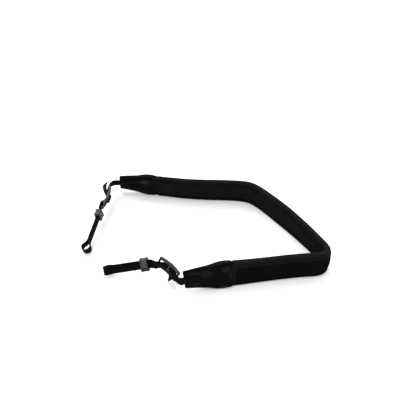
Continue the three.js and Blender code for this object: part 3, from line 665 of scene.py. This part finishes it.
def make_band(look, thread):
    """The padded band with its rim, panels and seams, and its stitches as a second piece."""
    step, fine = BAND_STEP, BAND_STEP.fine_run
    first, last = TAB.length - BAND.in_tab, STRAP_LENGTH - TAB.length + BAND.in_tab
    start, end = TAB.length - step.margin, STRAP_LENGTH - TAB.length + step.margin
    s = in_order(
        np.arange(first, start - 1, step.inside),
        np.arange(start - 1, start + fine, step.fine),
        np.linspace(start + fine, end - fine, int((end - start - 2 * fine) / step.plain)),
        last + first - np.arange(start + fine - step.fine, start - 1.1, -step.fine),
        last + first - np.arange(start - 1, first, -step.inside)[1:],
        [last],
    )
    ups = []
    for panel in (OUTER_PANEL, INNER_PANEL):
        lines = [panel.low, panel.low - SEAM_STITCH, panel.high, panel.high + SEAM_STITCH]
        ups.append(band_ups(panel, lines + [panel.high + TOP_LINE] * (panel is OUTER_PANEL)))
    outer, inner = ups[0], ups[1][-2:0:-1]
    rings = np.concatenate([
        band_points(s[:, None] + 0 * outer, outer + 0 * s[:, None], 1),
        band_points(s[:, None] + 0 * inner, inner + 0 * s[:, None], -1),
    ], axis=1)
    count = rings.shape[1]
    to_outer = panel_distance(s[:, None], outer, OUTER_PANEL)
    to_inner = panel_distance(s[:, None], inner, INNER_PANEL)
    tone = BAND_TONE
    below = smoothstep(INNER_PANEL.low - inner, *tone.below_edge) + 0 * to_inner
    panel = np.concatenate([smoothstep(-to_outer, *tone.panel_edge), tone.below * below], axis=1)
    # Painted shade along the top stitch line and the seams.
    top_line = tone.top_line * ridge(to_outer - TOP_LINE, tone.top_width)
    top_line = top_line * smoothstep(outer, *TOP_GROOVE.above)
    outer_seam = np.maximum(tone.outer_seam * ridge(to_outer, tone.outer_width), top_line)
    seam = np.concatenate([outer_seam, tone.inner_seam * ridge(to_inner, tone.inner_width)], axis=1)
    # Painted highlight along the band's top rim, on both faces.
    rim = smoothstep(np.concatenate([outer, inner]), *tone.rim) + 0 * seam
    girth = girth_of(rings[len(s) // 2])
    piece = make_piece("band_pad", rings, loft_faces(len(s), count), look, end_caps(len(s), count),
                       loft_map(s, girth), {"panel": panel, "seam": seam, "rim": rim})
    finish_piece(piece, "jersey", "band")

    lines, grow = [], SEAM_STITCH
    for side, panel in ((1, OUTER_PANEL), (-1, INNER_PANEL)):
        begin, stop = panel.near, STRAP_LENGTH - panel.far
        lines.append((side, rounded_path(begin - grow, stop + grow, panel.low - grow, panel.high + grow,
                                         panel.corner + grow)))
    at = np.arange(TAB.length + 1, STRAP_LENGTH - TAB.length - 1, 0.25)
    lines.append((1, np.stack([at, np.full_like(at, OUTER_PANEL.high + TOP_LINE)], axis=1)))
    threads = []
    for side, path in lines:
        line = band_points(path[:, 0], path[:, 1], side)
        placed, ways = march(np.concatenate([line, path], axis=1), STITCH.pitch)
        normals = band_normals(placed[:, 3], placed[:, 4], side)
        threads.append((placed[:, :3], ways[:, :3], normals))
    make_stitches("band_stitches", threads, STITCH, thread, "jersey")


def band_normals(s, up, side):
    """Directions straight out of the band's face."""
    step = 0.2
    across = band_points(s, up + step, side) - band_points(s, up - step, side)
    along = band_points(s + step, up, side) - band_points(s - step, up, side)
    return unit(np.cross(along, across)) * side


# Tabs.

def ring_pattern(wide_steps, thick_steps, corner_steps):
    """A rounded rectangle as multipliers: place on the two sides, and the direction out of the ring."""
    rows = []

    def side(fixed, direction, forward, steps, vertical):
        for t in np.linspace(-1, 1, steps + 1)[1:-1] * forward:
            kx, ky = (fixed, t) if vertical else (t, fixed)
            rows.append((kx, ky, *direction))

    def corner(kx, ky, start):
        for k in range(corner_steps + 1):
            angle = math.radians(start + 90 * k / corner_steps)
            rows.append((kx, ky, math.cos(angle), math.sin(angle)))

    side(1, (1, 0), 1, wide_steps, True)
    corner(1, 1, 0)
    side(1, (0, 1), -1, thick_steps, False)
    corner(-1, 1, 90)
    side(-1, (-1, 0), -1, wide_steps, True)
    corner(-1, -1, 180)
    side(-1, (0, -1), 1, thick_steps, False)
    corner(1, -1, 270)
    return np.array(rows)


def ring_points(pattern, thick, wide, radius, proud=0.0):
    """Section points (out, up) of a ring pattern for arrays of sizes, one row each."""
    kx, ky, nx, ny = (pattern[None, :, k] for k in range(4))
    thick, wide, radius = (np.asarray(v, float).reshape(-1, 1) for v in (thick, wide, radius))
    out = kx * (thick / 2 - radius) + nx * (radius + proud)
    return out, ky * (wide / 2 - radius) + ny * (radius + proud)


def tab_size(away, column):
    """A size of a tab, eased between the rows of its table."""
    shifts = (-1.2, -0.6, 0, 0.6, 1.2)
    return np.mean([np.interp(away + k, TAB_SECTION[:, 0], TAB_SECTION[:, column]) for k in shifts], axis=0)


def tab_middle(away):
    """Height of a tab's middle line."""
    return (tab_size(away, 1) + tab_size(away, 2)) / 2


def tab_half(away):
    """Half the height of a tab, pared towards the seam."""
    pared = TAB_PARE.depth * smoothstep(away, TAB_PARE.start, TAB.length)
    return (tab_size(away, 2) - tab_size(away, 1)) / 2 - pared


def tab_line_half(away):
    """Half the height of a tab's stitched line."""
    narrow, wide = TAB_LINE.inset_narrow, TAB_LINE.inset_wide
    return tab_half(away) - (narrow + (wide - narrow) * smoothstep(away, *TAB_LINE.widen))


def tab_line_distance(away, up):
    """Signed distance to the tab's stitched line, negative inside."""
    first, last = TAB_LINE.first, TAB_LINE.last
    return rounded_box(away - (first + last) / 2, up - tab_middle(away), (last - first) / 2,
                       tab_line_half(away), TAB_LINE.corner)


def tab_relief(away, up, facing):
    """How far the leather stands out of its plain section; facing is 1 outside and -1 inside the loop."""
    d = tab_line_distance(away, up)
    upper = tab_size(away, 2) - up
    lower = up - tab_size(away, 1)
    pull = 0.5 + 0.5 * np.cos(TURN * away / TAB_STITCH.pitch)
    size, groove = TAB_RELIEF, TAB_RELIEF.groove + TAB_RELIEF.pull * pull
    relief = size.pad * smoothstep(-d, *size.pad_run) - groove * ridge(d, size.width)
    relief = relief + size.bead * ridge(d - size.bead_at, size.bead_width)
    outer = smoothstep(facing, 0, 0.5)
    thin = TAB_THIN.upper_inner + (TAB_THIN.upper_outer - TAB_THIN.upper_inner) * outer
    thin = thin + (TAB_THIN.at_seam - thin) * smoothstep(away, *TAB_THIN.fade)
    relief -= thin * (1 - smoothstep(upper, 0, TAB_THIN.upper_run))
    flare = TAB_FLARE.mouth + (TAB_FLARE.seam - TAB_FLARE.mouth) * smoothstep(away, *TAB_FLARE.grow)
    relief += (flare * outer - TAB_THIN.lower * (1 - outer)) * (1 - smoothstep(lower, *TAB_FLARE.run))
    return relief * np.abs(facing)


def tab_lip(away):
    """The leather's folded edges at the mouth and at the seam: how far the section draws in."""
    mouth = TAB_LIP.mouth * (1 - roundness(away, TAB_LIP.mouth_run))
    return mouth + TAB_LIP.seam * (1 - roundness(TAB.length - away, TAB_LIP.seam_run))


def tab_slant(away, out, slant):
    """Distance from the mouth with the seam's slant: the tab is shorter on its inner face."""
    inner = np.clip(0.5 - out / TAB_SECTION[-1, 3], 0, 1)
    reach = np.clip((away - TAB.slant_from) / (TAB.length - TAB.slant_from), 0, 1)
    return away - slant * inner * reach


def mouth_cut(away, up, cut):
    """How far the slanted mouth reaches out, fading into the tab."""
    fade = 1 - smoothstep(away, 0, TAB.mouth_fade)
    return -fade * (cut.out + cut.upper * (up - tab_middle(away)) / tab_half(away))


def tab_hollow(pattern):
    """Rings of the webbing's slot and the band's pocket: distance from the mouth, out and up."""
    slot = np.array([WEB.thick, WEB.width]) + 2 * GAP
    pocket = np.array([BAND.end_thick, BAND.end_width]) + 2 * GAP
    rows = np.array([
        (0.0, *slot + 0.5), (0.12, *slot + 0.2), (0.4, *slot), (3.0, *slot), (TAB.slot_depth, *slot),
        *((at, *pocket) for at in (TAB.pocket_start, *TAB.pocket_rows)),
        (TAB.length - 1, *pocket + 0.05), (TAB.length, *pocket + (0.2, 0.1)),
    ])
    out, up = ring_points(pattern, rows[:, 1], rows[:, 2], TAB.hollow_corner + 0 * rows[:, 0])
    pocket_up = BAND.width / 2 + TAB.lift
    reach = np.clip((rows[:, :1] - TAB.slot_depth) / (TAB.pocket_start - TAB.slot_depth), 0, 1)
    return rows[:, 0], out, up + TAB.slot_up + (pocket_up - TAB.slot_up) * reach


def tab_masks(away, up, facing, outside):
    """Rubbed edges and painted sheen patches of a tab's outer rings; the rings of its hollow have none."""
    middle, half = tab_middle(away)[:, None], tab_half(away)[:, None]
    ends = np.maximum(ridge(away, TAB_RUB.mouth), ridge(TAB.length - away, TAB_RUB.seam))[:, None]
    edges = ridge(np.minimum(np.abs(up - middle) - half, 0), TAB_RUB.edge) * TAB_RUB.tone
    rubbed = np.maximum(edges, ends)
    painted_sheen = np.zeros_like(rubbed)
    # Painted sheen patches, each on the face where a highlight would fall.
    for face, at, level, half_run, half_high, strength in TAB_PAINTED_SHEEN:
        off = np.hypot((away[:, None] - at) / half_run, ((up - middle) / half - level) / half_high)
        patch = strength * (1 - smoothstep(off, 0.0, SHEEN_EDGE))
        painted_sheen = np.maximum(painted_sheen, patch * smoothstep(facing * face, *SHEEN_FACING))
    rubbed[outside:] = painted_sheen[outside:] = 0
    return {"rubbed": rubbed, "painted_sheen": painted_sheen}


def tab_path():
    """Points round a tab's stitched line: distance from the mouth and height."""
    radius = TAB_LINE.corner
    run = np.arange(TAB_LINE.first + radius, TAB_LINE.last - radius, 0.2)
    turn = np.linspace(0, QUARTER, 14)[1:-1]

    def corner(at, sign):
        half = tab_line_half(np.array([at]))[0]
        return np.stack([at + sign * radius * np.sin(turn), half - radius + radius * np.cos(turn)], axis=1)

    top = np.stack([run, tab_line_half(run)], axis=1)
    upper = np.concatenate([corner(run[0], -1)[::-1], top, corner(run[-1], 1)])
    path = np.concatenate([upper, upper[::-1] * (1, -1), upper[:1]])
    path[:, 1] += tab_middle(path[:, 0])
    return path


def make_tab(name, node, place_of, cut, look, thread):
    """A leather tab with its hollow and stitches; place_of gives the strap's place for a distance away."""
    pattern = ring_pattern(56, 6, 6)
    facing = pattern[None, :, 2]
    ends = np.array([0, 0.03, 0.1, 0.22, 0.4, 0.7])
    away = in_order(ends, np.arange(1.2, TAB.length - 0.9, 0.55), TAB.length - ends[::-1] * 0.8)
    out, up = ring_points(pattern, tab_size(away, 3), 2 * tab_half(away), TAB.corner,
                          -tab_lip(away)[:, None])
    up = up + tab_middle(away)[:, None]
    out = out + facing * tab_relief(away[:, None], up, facing)
    outside = len(away)
    hollow_away, hollow_out, hollow_up = tab_hollow(pattern)
    away = np.concatenate([away, hollow_away[::-1]])
    out = np.concatenate([out, hollow_out[::-1]])
    up = np.concatenate([up, hollow_up[::-1]])
    s = place_of(tab_slant(away[:, None], out, cut.slant) + mouth_cut(away[:, None], up, cut))
    points = strap_points(s, out, up)
    corners = loft_map(np.concatenate([away, away[:1]]), girth_of(points[outside // 2]))
    piece = make_piece(name, points, loft_faces(*out.shape, closed=True), look, (), corners,
                       tab_masks(away, up, facing, outside))
    finish_piece(piece, "leather", node)

    path, threads = tab_path(), []
    away, up = path.T
    for face in (1, -1):
        half = tab_size(away, 3) / 2 - tab_lip(away) + tab_relief(away, up, float(face))
        s = place_of(tab_slant(away, face * half, cut.slant) + mouth_cut(away, up, cut))
        line = strap_points(s, face * half, up)
        placed, ways = march(np.concatenate([line, path], axis=1), TAB_STITCH.pitch)
        normals = strap_frames(place_of(placed[:, 3]))[3] * face
        threads.append((placed[:, :3] + TAB_STITCH.lift * normals, ways[:, :3], normals))
    make_stitches(name + "_stitches", threads, TAB_STITCH, thread, "leather")


# Webbing, buckles and keepers.

def hard_frame(place, side):
    """Origin, way to the lug, webbing's width and bowed side of a hard piece."""
    way, slope, roll = np.radians([place.heading, place.rise, place.roll])
    level = np.array([math.cos(way), math.sin(way), 0])
    left = np.array([-math.sin(way), math.cos(way), 0])
    along = level * math.cos(slope) + UP * math.sin(slope)
    across = np.cross(along, left) * math.cos(roll) + left * math.sin(roll)
    return np.array(place.at, float), along, across, np.cross(along, across) * side


def hard_points(hard, pairs):
    """Points from distances along a hard piece and towards its bowed side."""
    origin, along, _, over = hard
    pairs = np.asarray(pairs, float)
    return origin + pairs[..., :1] * along + pairs[..., 1:2] * over


def settle(points, hard):
    """Points from a hard piece's own axes (along, across, bowed side) into the row frame."""
    origin, along, _, over = hard
    return origin + points @ np.stack([along, np.cross(over, along), over])


def arc(middle, radius, start, end, steps):
    """Points on an arc round a middle, by angles."""
    angle = np.linspace(start, end, steps + 1)
    return np.stack([middle[0] + radius * np.cos(angle), middle[1] + radius * np.sin(angle)], axis=1)


def bow_at(along):
    """How far the buckle bows out."""
    return BUCKLE.bow * (1 - (2 * along / BUCKLE.length) ** 2)


def threading(end):
    """The webbing's two ways through the buckle: under the end bars and over the middle one."""
    tab_bar, mid_bar, lug_bar = ((k * BUCKLE.pitch, bow_at(k * BUCKLE.pitch)) for k in (-1, 0, 1))
    close = BUCKLE.bar + GAP + WEB.thick / 2
    wide = close + LAYER
    rise = mid_bar[1] - lug_bar[1]
    tilt, reach, loose = math.atan2(rise, BUCKLE.pitch), math.hypot(BUCKLE.pitch, rise), end.loose
    to_tab = tilt + math.asin((close + wide) / reach)
    to_lug = tilt + math.asin((close + wide + loose) / reach)
    leave = math.radians(end.leave)
    past = BUCKLE.length / 2 + WEB.straight
    away = np.array([math.cos(leave), -math.sin(leave)]) * (past - BUCKLE.pitch) / math.cos(leave)

    def below(distance):
        return arc(lug_bar, distance, -QUARTER - leave, -QUARTER - leave, 1)[0] + away

    fixed = np.concatenate([
        arc(tab_bar, close, -QUARTER, to_tab - QUARTER, 16),
        arc(mid_bar, wide, QUARTER + to_tab, QUARTER - to_lug, 24),
        arc(lug_bar, close + loose, -QUARTER - to_lug, -QUARTER - leave, 16),
        [below(close + loose)],
    ])
    fall = math.radians(end.dip)
    free = np.concatenate([
        arc(mid_bar, close, QUARTER + fall, QUARTER - to_lug, 24),
        arc(lug_bar, wide + loose, -QUARTER - to_lug, -QUARTER - leave, 16),
        [below(wide + loose)],
    ])
    return fixed, free, below((close + wide) / 2 + loose), leave, past


def lug_loop(lug_run):
    """The loop for a lug: the layers part in two flares and meet round a circle."""
    radius, half = LOOP.clear / 2 + WEB.thick / 2, LAYER / 2
    spread = math.acos((LOOP.flare + half) / (LOOP.flare + radius))
    flare_at = lug_run - (LOOP.flare + radius) * math.sin(spread)
    return np.concatenate([
        arc((flare_at, half + LOOP.flare), LOOP.flare, -QUARTER, spread - QUARTER, 16),
        arc((lug_run, 0), radius, QUARTER + spread, -QUARTER - spread, 60)[1:-1],
        arc((flare_at, -half - LOOP.flare), LOOP.flare, QUARTER - spread, QUARTER, 16),
    ])


def bezier(a, b, c, d, t):
    """Points of a cubic curve."""
    t = t[:, None]
    return a * (1 - t) ** 3 + 3 * b * t * (1 - t) ** 2 + 3 * c * t ** 2 * (1 - t) + d * t ** 3


def web_line(end, mouth):
    """The webbing's whole middle line with its width direction, from inside the tab to the tail."""
    buckle, keeper = hard_frame(end.buckle, end.side), hard_frame(end.keeper, end.side)
    fixed, free, middle, leave, past = threading(end)
    point, way, width = mouth
    entry = hard_points(buckle, (-past, fixed[0, 1]))
    pull = np.linalg.norm(entry - point) * TAB_BEND_PULL
    t = np.linspace(0, 1, 41)
    bend = bezier(point, point + way * pull, entry - buckle[1] * pull, entry, t)
    bend_width = unit(width + (buckle[2] - width) * t[:, None])

    start = hard_points(buckle, middle)
    stop = hard_points(keeper, (-KEEPER.length / 2 - WEB.straight, 0))
    leaving = buckle[1] * math.cos(leave) - buckle[3] * math.sin(leave)
    left_over = buckle[3] * math.cos(leave) + buckle[1] * math.sin(leave)
    pull = np.linalg.norm(stop - start)
    first, last = start + leaving * pull * LEAVE_PULL, stop - keeper[1] * pull * KEEPER_PULL
    doubled = bezier(start, first, last, stop, t)
    doubled = doubled - UP * end.sag * ((t / SAG_AT) ** 2 * ((1 - t) / (1 - SAG_AT)) ** 3)[:, None]
    turn = smoothstep(t, 0, 1)[:, None]
    plain_width = unit(buckle[2] * (1 - turn) + keeper[2] * turn)
    plain_over = unit(left_over * (1 - turn) + keeper[3] * turn)
    swing = np.radians(end.swing) * np.sin(math.pi * t)[:, None] ** 2
    doubled_width = plain_width * np.cos(swing) - plain_over * np.sin(swing)
    doubled_over = plain_over * np.cos(swing) + plain_width * np.sin(swing)
    loop = hard_points(keeper, lug_loop(end.lug_run))

    tail_t = np.linspace(0, 1, 21)[1:, None]
    fall = np.radians(end.dip - end.curl * smoothstep(tail_t, CURL_FROM, 1.0))
    tail_way = -buckle[1] * np.cos(fall) - buckle[3] * np.sin(fall)
    tail = hard_points(buckle, free[0]) + np.cumsum(tail_way, axis=0) * end.tail / len(tail_t)
    tail_turn = np.radians(end.tail_turn) * smoothstep(tail_t, CURL_FROM, 1.0)
    tail_width = buckle[2] * np.cos(tail_turn) + np.cross(tail_way, buckle[2]) * np.sin(tail_turn)

    def on(hard, count):
        return np.repeat(hard[2][None], count, axis=0)

    points = np.concatenate([
        [point - way * WEB.in_tab], bend, hard_points(buckle, fixed),
        (doubled + doubled_over * LAYER / 2)[1:], loop, (doubled - doubled_over * LAYER / 2)[:0:-1],
        hard_points(buckle, free)[::-1], tail,
    ])
    widths = np.concatenate([
        [width], bend_width, on(buckle, len(fixed)), doubled_width[1:], on(keeper, len(loop)),
        doubled_width[:0:-1], on(buckle, len(free)), tail_width,
    ])
    return points, widths


def make_web(name, node, end, mouth, look):
    """Flat webbing with its yarns: crowns over and under the picks, round selvedges, a sealed end."""
    line, widths = web_line(end, mouth)
    far = run_of(line)
    fresh = np.concatenate([[True], np.diff(far) > 1e-6])
    line, widths, far = line[fresh], widths[fresh], far[fresh]
    at = np.linspace(0, far[-1], int(far[-1] / WEAVE.step))
    points, widths = points_at(at, far, line), points_at(at, far, widths)
    ways = unit(np.gradient(points, at, axis=0))
    widths = unit(widths - ways * np.sum(widths * ways, axis=1, keepdims=True))
    normals = np.cross(ways, widths)

    half, thin, edge = WEB.width / 2, WEB.thick / 2, WEAVE.selvedge
    across = np.linspace(-half + edge, half - edge, WEAVE.samples)
    turn = np.linspace(-QUARTER, QUARTER, 7)[1:-1]
    u = np.concatenate([across, half - edge + edge * np.cos(turn[::-1]), across[::-1],
                        -half + edge - edge * np.cos(turn)])
    flat = np.ones(len(across))
    lift = np.concatenate([flat, np.sin(turn[::-1]), -flat, np.sin(turn)])
    yarn = (u + half) / WEB.width * WEAVE.yarns
    over = np.where(np.floor(yarn) % 2 == 0, 0.0, 0.5) + np.where(lift > 0, 0.0, 0.5)
    crown = np.sin(math.pi * (yarn % 1)) ** 2
    wave = 0.55 + 0.45 * np.cos(TURN * (at[:, None] / WEAVE.pick + over[None]))
    height = thin - WEAVE.crown + WEAVE.crown * WEAVE.proud * crown[None] * wave
    sealed = np.maximum(roundness(at[-1] - at, WEAVE.seal), WEAVE.seal_thin)[:, None]
    rings = (points[:, None] + widths[:, None] * u[None, :, None]
             + normals[:, None] * (lift * height * sealed)[..., None])
    size = rings.shape[:2]
    piece = make_piece(name, rings, loft_faces(*size), look, end_caps(*size),
                       loft_map(at, girth_of(rings[len(at) // 2])))
    finish_piece(piece, "webbing", node)


def closed_loft(rings):
    """A closed body of rings: its points, quads and two end faces."""
    rings = np.asarray(rings)
    size = rings.shape[:2]
    return rings.reshape(-1, 3), loft_faces(*size), end_caps(*size)


def lower_side(hard):
    """1 where the side towards +y of a buckle or keeper is its lower one, and -1 where it is the upper."""
    tip, middle = settle(np.array([[0.0, 1.0, 0.0], [0.0, 0.0, 0.0]]), hard)
    return 1.0 if tip[2] < middle[2] else -1.0


def buckle_bodies():
    """The bowed rails and the round bars, as closed bodies in the buckle's own axes."""
    form, bodies = BUCKLE_FORM, []
    pattern = ring_pattern(6, 6, 5)
    half_length, tip = BUCKLE.length / 2, BUCKLE.thick / 2
    inset = tip * (1 - np.cos(np.linspace(0.15, QUARTER, 10)))
    plain = np.linspace(-half_length + tip, half_length - tip, 40)
    x = in_order(-half_length + inset, plain, half_length - inset)
    ending = roundness(half_length - np.abs(x), tip)
    side_at = (BUCKLE.width - BUCKLE.rail) / 2
    for side in (-1, 1):
        thick = BUCKLE.thick * ending
        wide = BUCKLE.rail * (form.tip + (1 - form.tip) * ending)
        z, y = ring_points(pattern, thick, wide, np.minimum(thick, wide) * form.corner)
        y = y + side * side_at
        bodies.append(closed_loft(np.stack([x[:, None] + 0 * y, y, z + bow_at(x)[:, None]], axis=-1)))
    angle = np.arange(32) * TURN / 32
    y = np.linspace(-side_at, side_at, 60)
    inside = np.clip((BUCKLE.width / 2 - BUCKLE.rail - np.abs(y)), 0, None)
    for k in (-1, 0, 1):
        flare = form.flare * ridge(inside, form.flare_run)
        rib = form.rib * np.cos(TURN * y / form.rib_pitch) * (k == 0) * smoothstep(inside, *form.rib_run)
        radius = (BUCKLE.bar + flare + rib)[:, None]
        bodies.append(closed_loft(np.stack([
            k * BUCKLE.pitch + radius * np.cos(angle), y[:, None] + 0 * angle,
            bow_at(k * BUCKLE.pitch) + radius * np.sin(angle)], axis=-1)))
    return bodies


def grow_together(name, bodies):
    """One smooth mesh grown from bodies that cross each other."""
    mesh = bpy.data.meshes.new(name)
    start, points, faces = 0, [], []
    for body, quads, caps in bodies:
        points.append(body)
        faces += (quads + start).tolist() + [[start + v for v in cap] for cap in caps]
        start += len(body)
    mesh.from_pydata((np.concatenate(points) * MM).tolist(), [], faces)
    cleaner = bmesh.new()
    cleaner.from_mesh(mesh)
    bmesh.ops.recalc_face_normals(cleaner, faces=cleaner.faces)
    cleaner.to_mesh(mesh)
    cleaner.free()
    rough = add_object(name + "_rough", mesh)
    remesh = rough.modifiers.new("grow", "REMESH")
    remesh.mode, remesh.voxel_size = "VOXEL", BUCKLE_FORM.grain * MM
    smooth = rough.modifiers.new("round", "SMOOTH")
    smooth.factor, smooth.iterations = 0.5, 5
    grown = bpy.data.meshes.new_from_object(rough.evaluated_get(bpy.context.evaluated_depsgraph_get()))
    bpy.data.objects.remove(rough)
    bpy.data.meshes.remove(mesh)
    grown.name = name
    return grown


def make_buckle(name, node, end, look):
    """Slide buckle: bowed rails and round bars grown into one moulded body, with a ribbed middle bar."""
    mesh = grow_together(name, buckle_bodies())
    flat = np.empty(len(mesh.vertices) * 3)
    mesh.vertices.foreach_get("co", flat)
    local = flat.reshape(-1, 3) / MM
    hard = hard_frame(end.buckle, end.side)
    mesh.vertices.foreach_set("co", (settle(local, hard) * MM).ravel())
    wear_and_highlight, half = BUCKLE_WEAR_AND_HIGHLIGHT, BUCKLE.width / 2
    # Lightened where the buckle is rubbed, with a painted highlight: less on its lower side, where less
    # light falls.
    worn_and_lit = smoothstep(np.abs(local[:, 1]), half - wear_and_highlight.side, half)
    worn_and_lit = np.maximum(worn_and_lit, smoothstep(local[:, 2] - bow_at(local[:, 0]), *wear_and_highlight.top))
    worn_and_lit *= 1 - wear_and_highlight.less * smoothstep(lower_side(hard) * local[:, 1], 0.0, wear_and_highlight.less_run)
    mesh.update()
    finish_piece(dress(name, mesh, look, {"rubbed": worn_and_lit}), "plastic", node)


def make_keeper(name, node, end, look):
    """Keeper: a soft ring with a rolled rim at each end and low ribs between."""
    form, shade_at, half = KEEPER_FORM, KEEPER_PAINTED_SHADE, KEEPER.length / 2
    pattern = ring_pattern(24, 8, 8)
    inner = np.array([LAYER + WEB.thick + 2 * GAP, WEB.width + 2 * GAP])
    outer = inner + 2 * KEEPER.wall
    inset = form.rim * (1 - np.cos(np.linspace(0, QUARTER, 6)))
    x = in_order(-half + inset, np.linspace(-half + form.rim, half - form.rim, 44), half - inset)
    to_end = half - np.abs(x)
    ribs = form.rib * np.cos(TURN * x / form.rib_pitch) * (np.abs(x) < form.ribs_to)
    proud = -form.roll * (1 - roundness(to_end, form.rim))
    proud += -form.waist * smoothstep(to_end, *form.waist_from) + ribs
    inset = np.array([0, 0.1, 0.35, 1.2])
    back = np.concatenate([half - inset, [0], inset[::-1] - half])
    lip = form.lip * (1 - roundness(half - np.abs(back), form.lip))
    rings = []
    for along, size, corner, grow in ((x, outer, KEEPER.corner, proud), (back, inner, KEEPER.edge, lip)):
        plain = np.ones(len(along))
        z, y = ring_points(pattern, plain * size[0], plain * size[1], plain * corner, grow[:, None])
        rings.append(np.stack([along[:, None] + 0 * y, y, z], axis=-1))
    local = np.concatenate(rings)
    hard = hard_frame(end.keeper, end.side)
    points = settle(local, hard)
    fall, out = lower_side(hard) * local[..., 1], local[..., 0]
    # Painted shade: darker on the lower side, a little on the upper side, and at both rims.
    painted_shade = np.max([
        smoothstep(fall, *shade_at.side), shade_at.top_tone * smoothstep(-fall, *shade_at.top),
        shade_at.outer_tone * smoothstep(out, *shade_at.outer), shade_at.inner_tone * smoothstep(-out, *shade_at.inner),
    ], axis=0)
    along = local[:, 0, 0]
    corners = loft_map(np.concatenate([along, along[:1]]), girth_of(points[len(x) // 2]))
    piece = make_piece(name, points, loft_faces(len(along), len(pattern), closed=True), look, (), corners,
                       {"painted_shade": painted_shade})
    finish_piece(piece, "rubber", node)


# Stage: floor, light and camera.

def make_stage():
    """Pale floor, soft light from above and behind, and the camera."""
    look = Look("pale_floor", Specular_IOR_Level=0.2, Roughness=0.85, Emission_Color=grey(1.0),
                Emission_Strength=0.2)
    look.colour(look.blend(look.noise(60.0, 2.0), grey(0.87), grey(0.90)))
    mesh = bpy.data.meshes.new("floor")
    reach = 6.0
    corners = [(-reach, -reach, 0), (reach, -reach, 0), (reach, reach, 0), (-reach, reach, 0)]
    mesh.from_pydata(corners, [], [(0, 1, 2, 3)])
    mesh.materials.append(look.material)
    floor = add_object("floor", mesh)
    floor.location.z = -0.0001

    world = bpy.data.worlds.new("studio")
    scene.world = world
    world.use_nodes = True
    sky = world.node_tree.nodes["Background"].inputs
    sky["Color"].default_value = (1, 1, 1, 1)
    sky["Strength"].default_value = 0.50

    def lamp(name, kind, **settings):
        data = bpy.data.lights.new(name, kind)
        for key, value in settings.items():
            setattr(data, key, value)
        return add_object(name, data)

    key = lamp("overhead", "SUN", energy=2.5, angle=math.radians(70))
    key.rotation_euler = (math.radians(-14), math.radians(-10), 0)
    soft = lamp("softbox", "AREA", energy=7.0, shape="RECTANGLE", size=0.9, size_y=0.5)
    soft.location = (-0.35, 0.75, 0.75)
    soft.rotation_euler = (Vector((0, 0.0, 0.02)) - soft.location).to_track_quat("-Z", "Y").to_euler()

    data = bpy.data.cameras.new("camera")
    data.sensor_width, data.lens = 36.0, 34.4
    data.clip_start, data.clip_end = 0.01, 50
    camera = add_object("camera", data)
    camera.location = (-0.00344, -0.29604, 0.35430)
    aim = Vector((-0.00344, 0.05826, 0)) - camera.location
    camera.rotation_euler = aim.to_track_quat("-Z", "Y").to_euler()
    scene.camera = camera
    scene.view_settings.view_transform = "Standard"
    scene.view_settings.look = "None"


def mouth_of(s, outward):
    """Middle of a tab's mouth, the way out of it and the webbing's width there."""
    _, along, up, _ = strap_frames(np.array([s]))
    point = strap_points(np.array([s]), np.array([0.0]), np.array([TAB.slot_up]))[0]
    return point, along[0] * outward, up[0]


make_stage()
JERSEY, LEATHER, WEBBING = jersey_look(), leather_look(), webbing_look()
PLASTIC, RUBBER, THREAD = plastic_look(), rubber_look(), thread_look()
make_band(JERSEY, THREAD)
make_tab("tab_near_leather", "tab_near", lambda away: away, NEAR_CUT, LEATHER, THREAD)
make_tab("tab_far_leather", "tab_far", lambda away: STRAP_LENGTH - away, FAR_CUT, LEATHER, THREAD)
MOUTHS = mouth_of(0.0, -1), mouth_of(STRAP_LENGTH, 1)
for key, end, mouth in zip(("near", "far"), (NEAR_END, FAR_END), MOUTHS):
    make_web(f"web_{key}_woven", f"web_{key}", end, mouth, WEBBING)
    make_buckle(f"buckle_{key}_moulded", f"buckle_{key}", end, PLASTIC)
    make_keeper(f"keeper_{key}_ring", f"keeper_{key}", end, RUBBER)
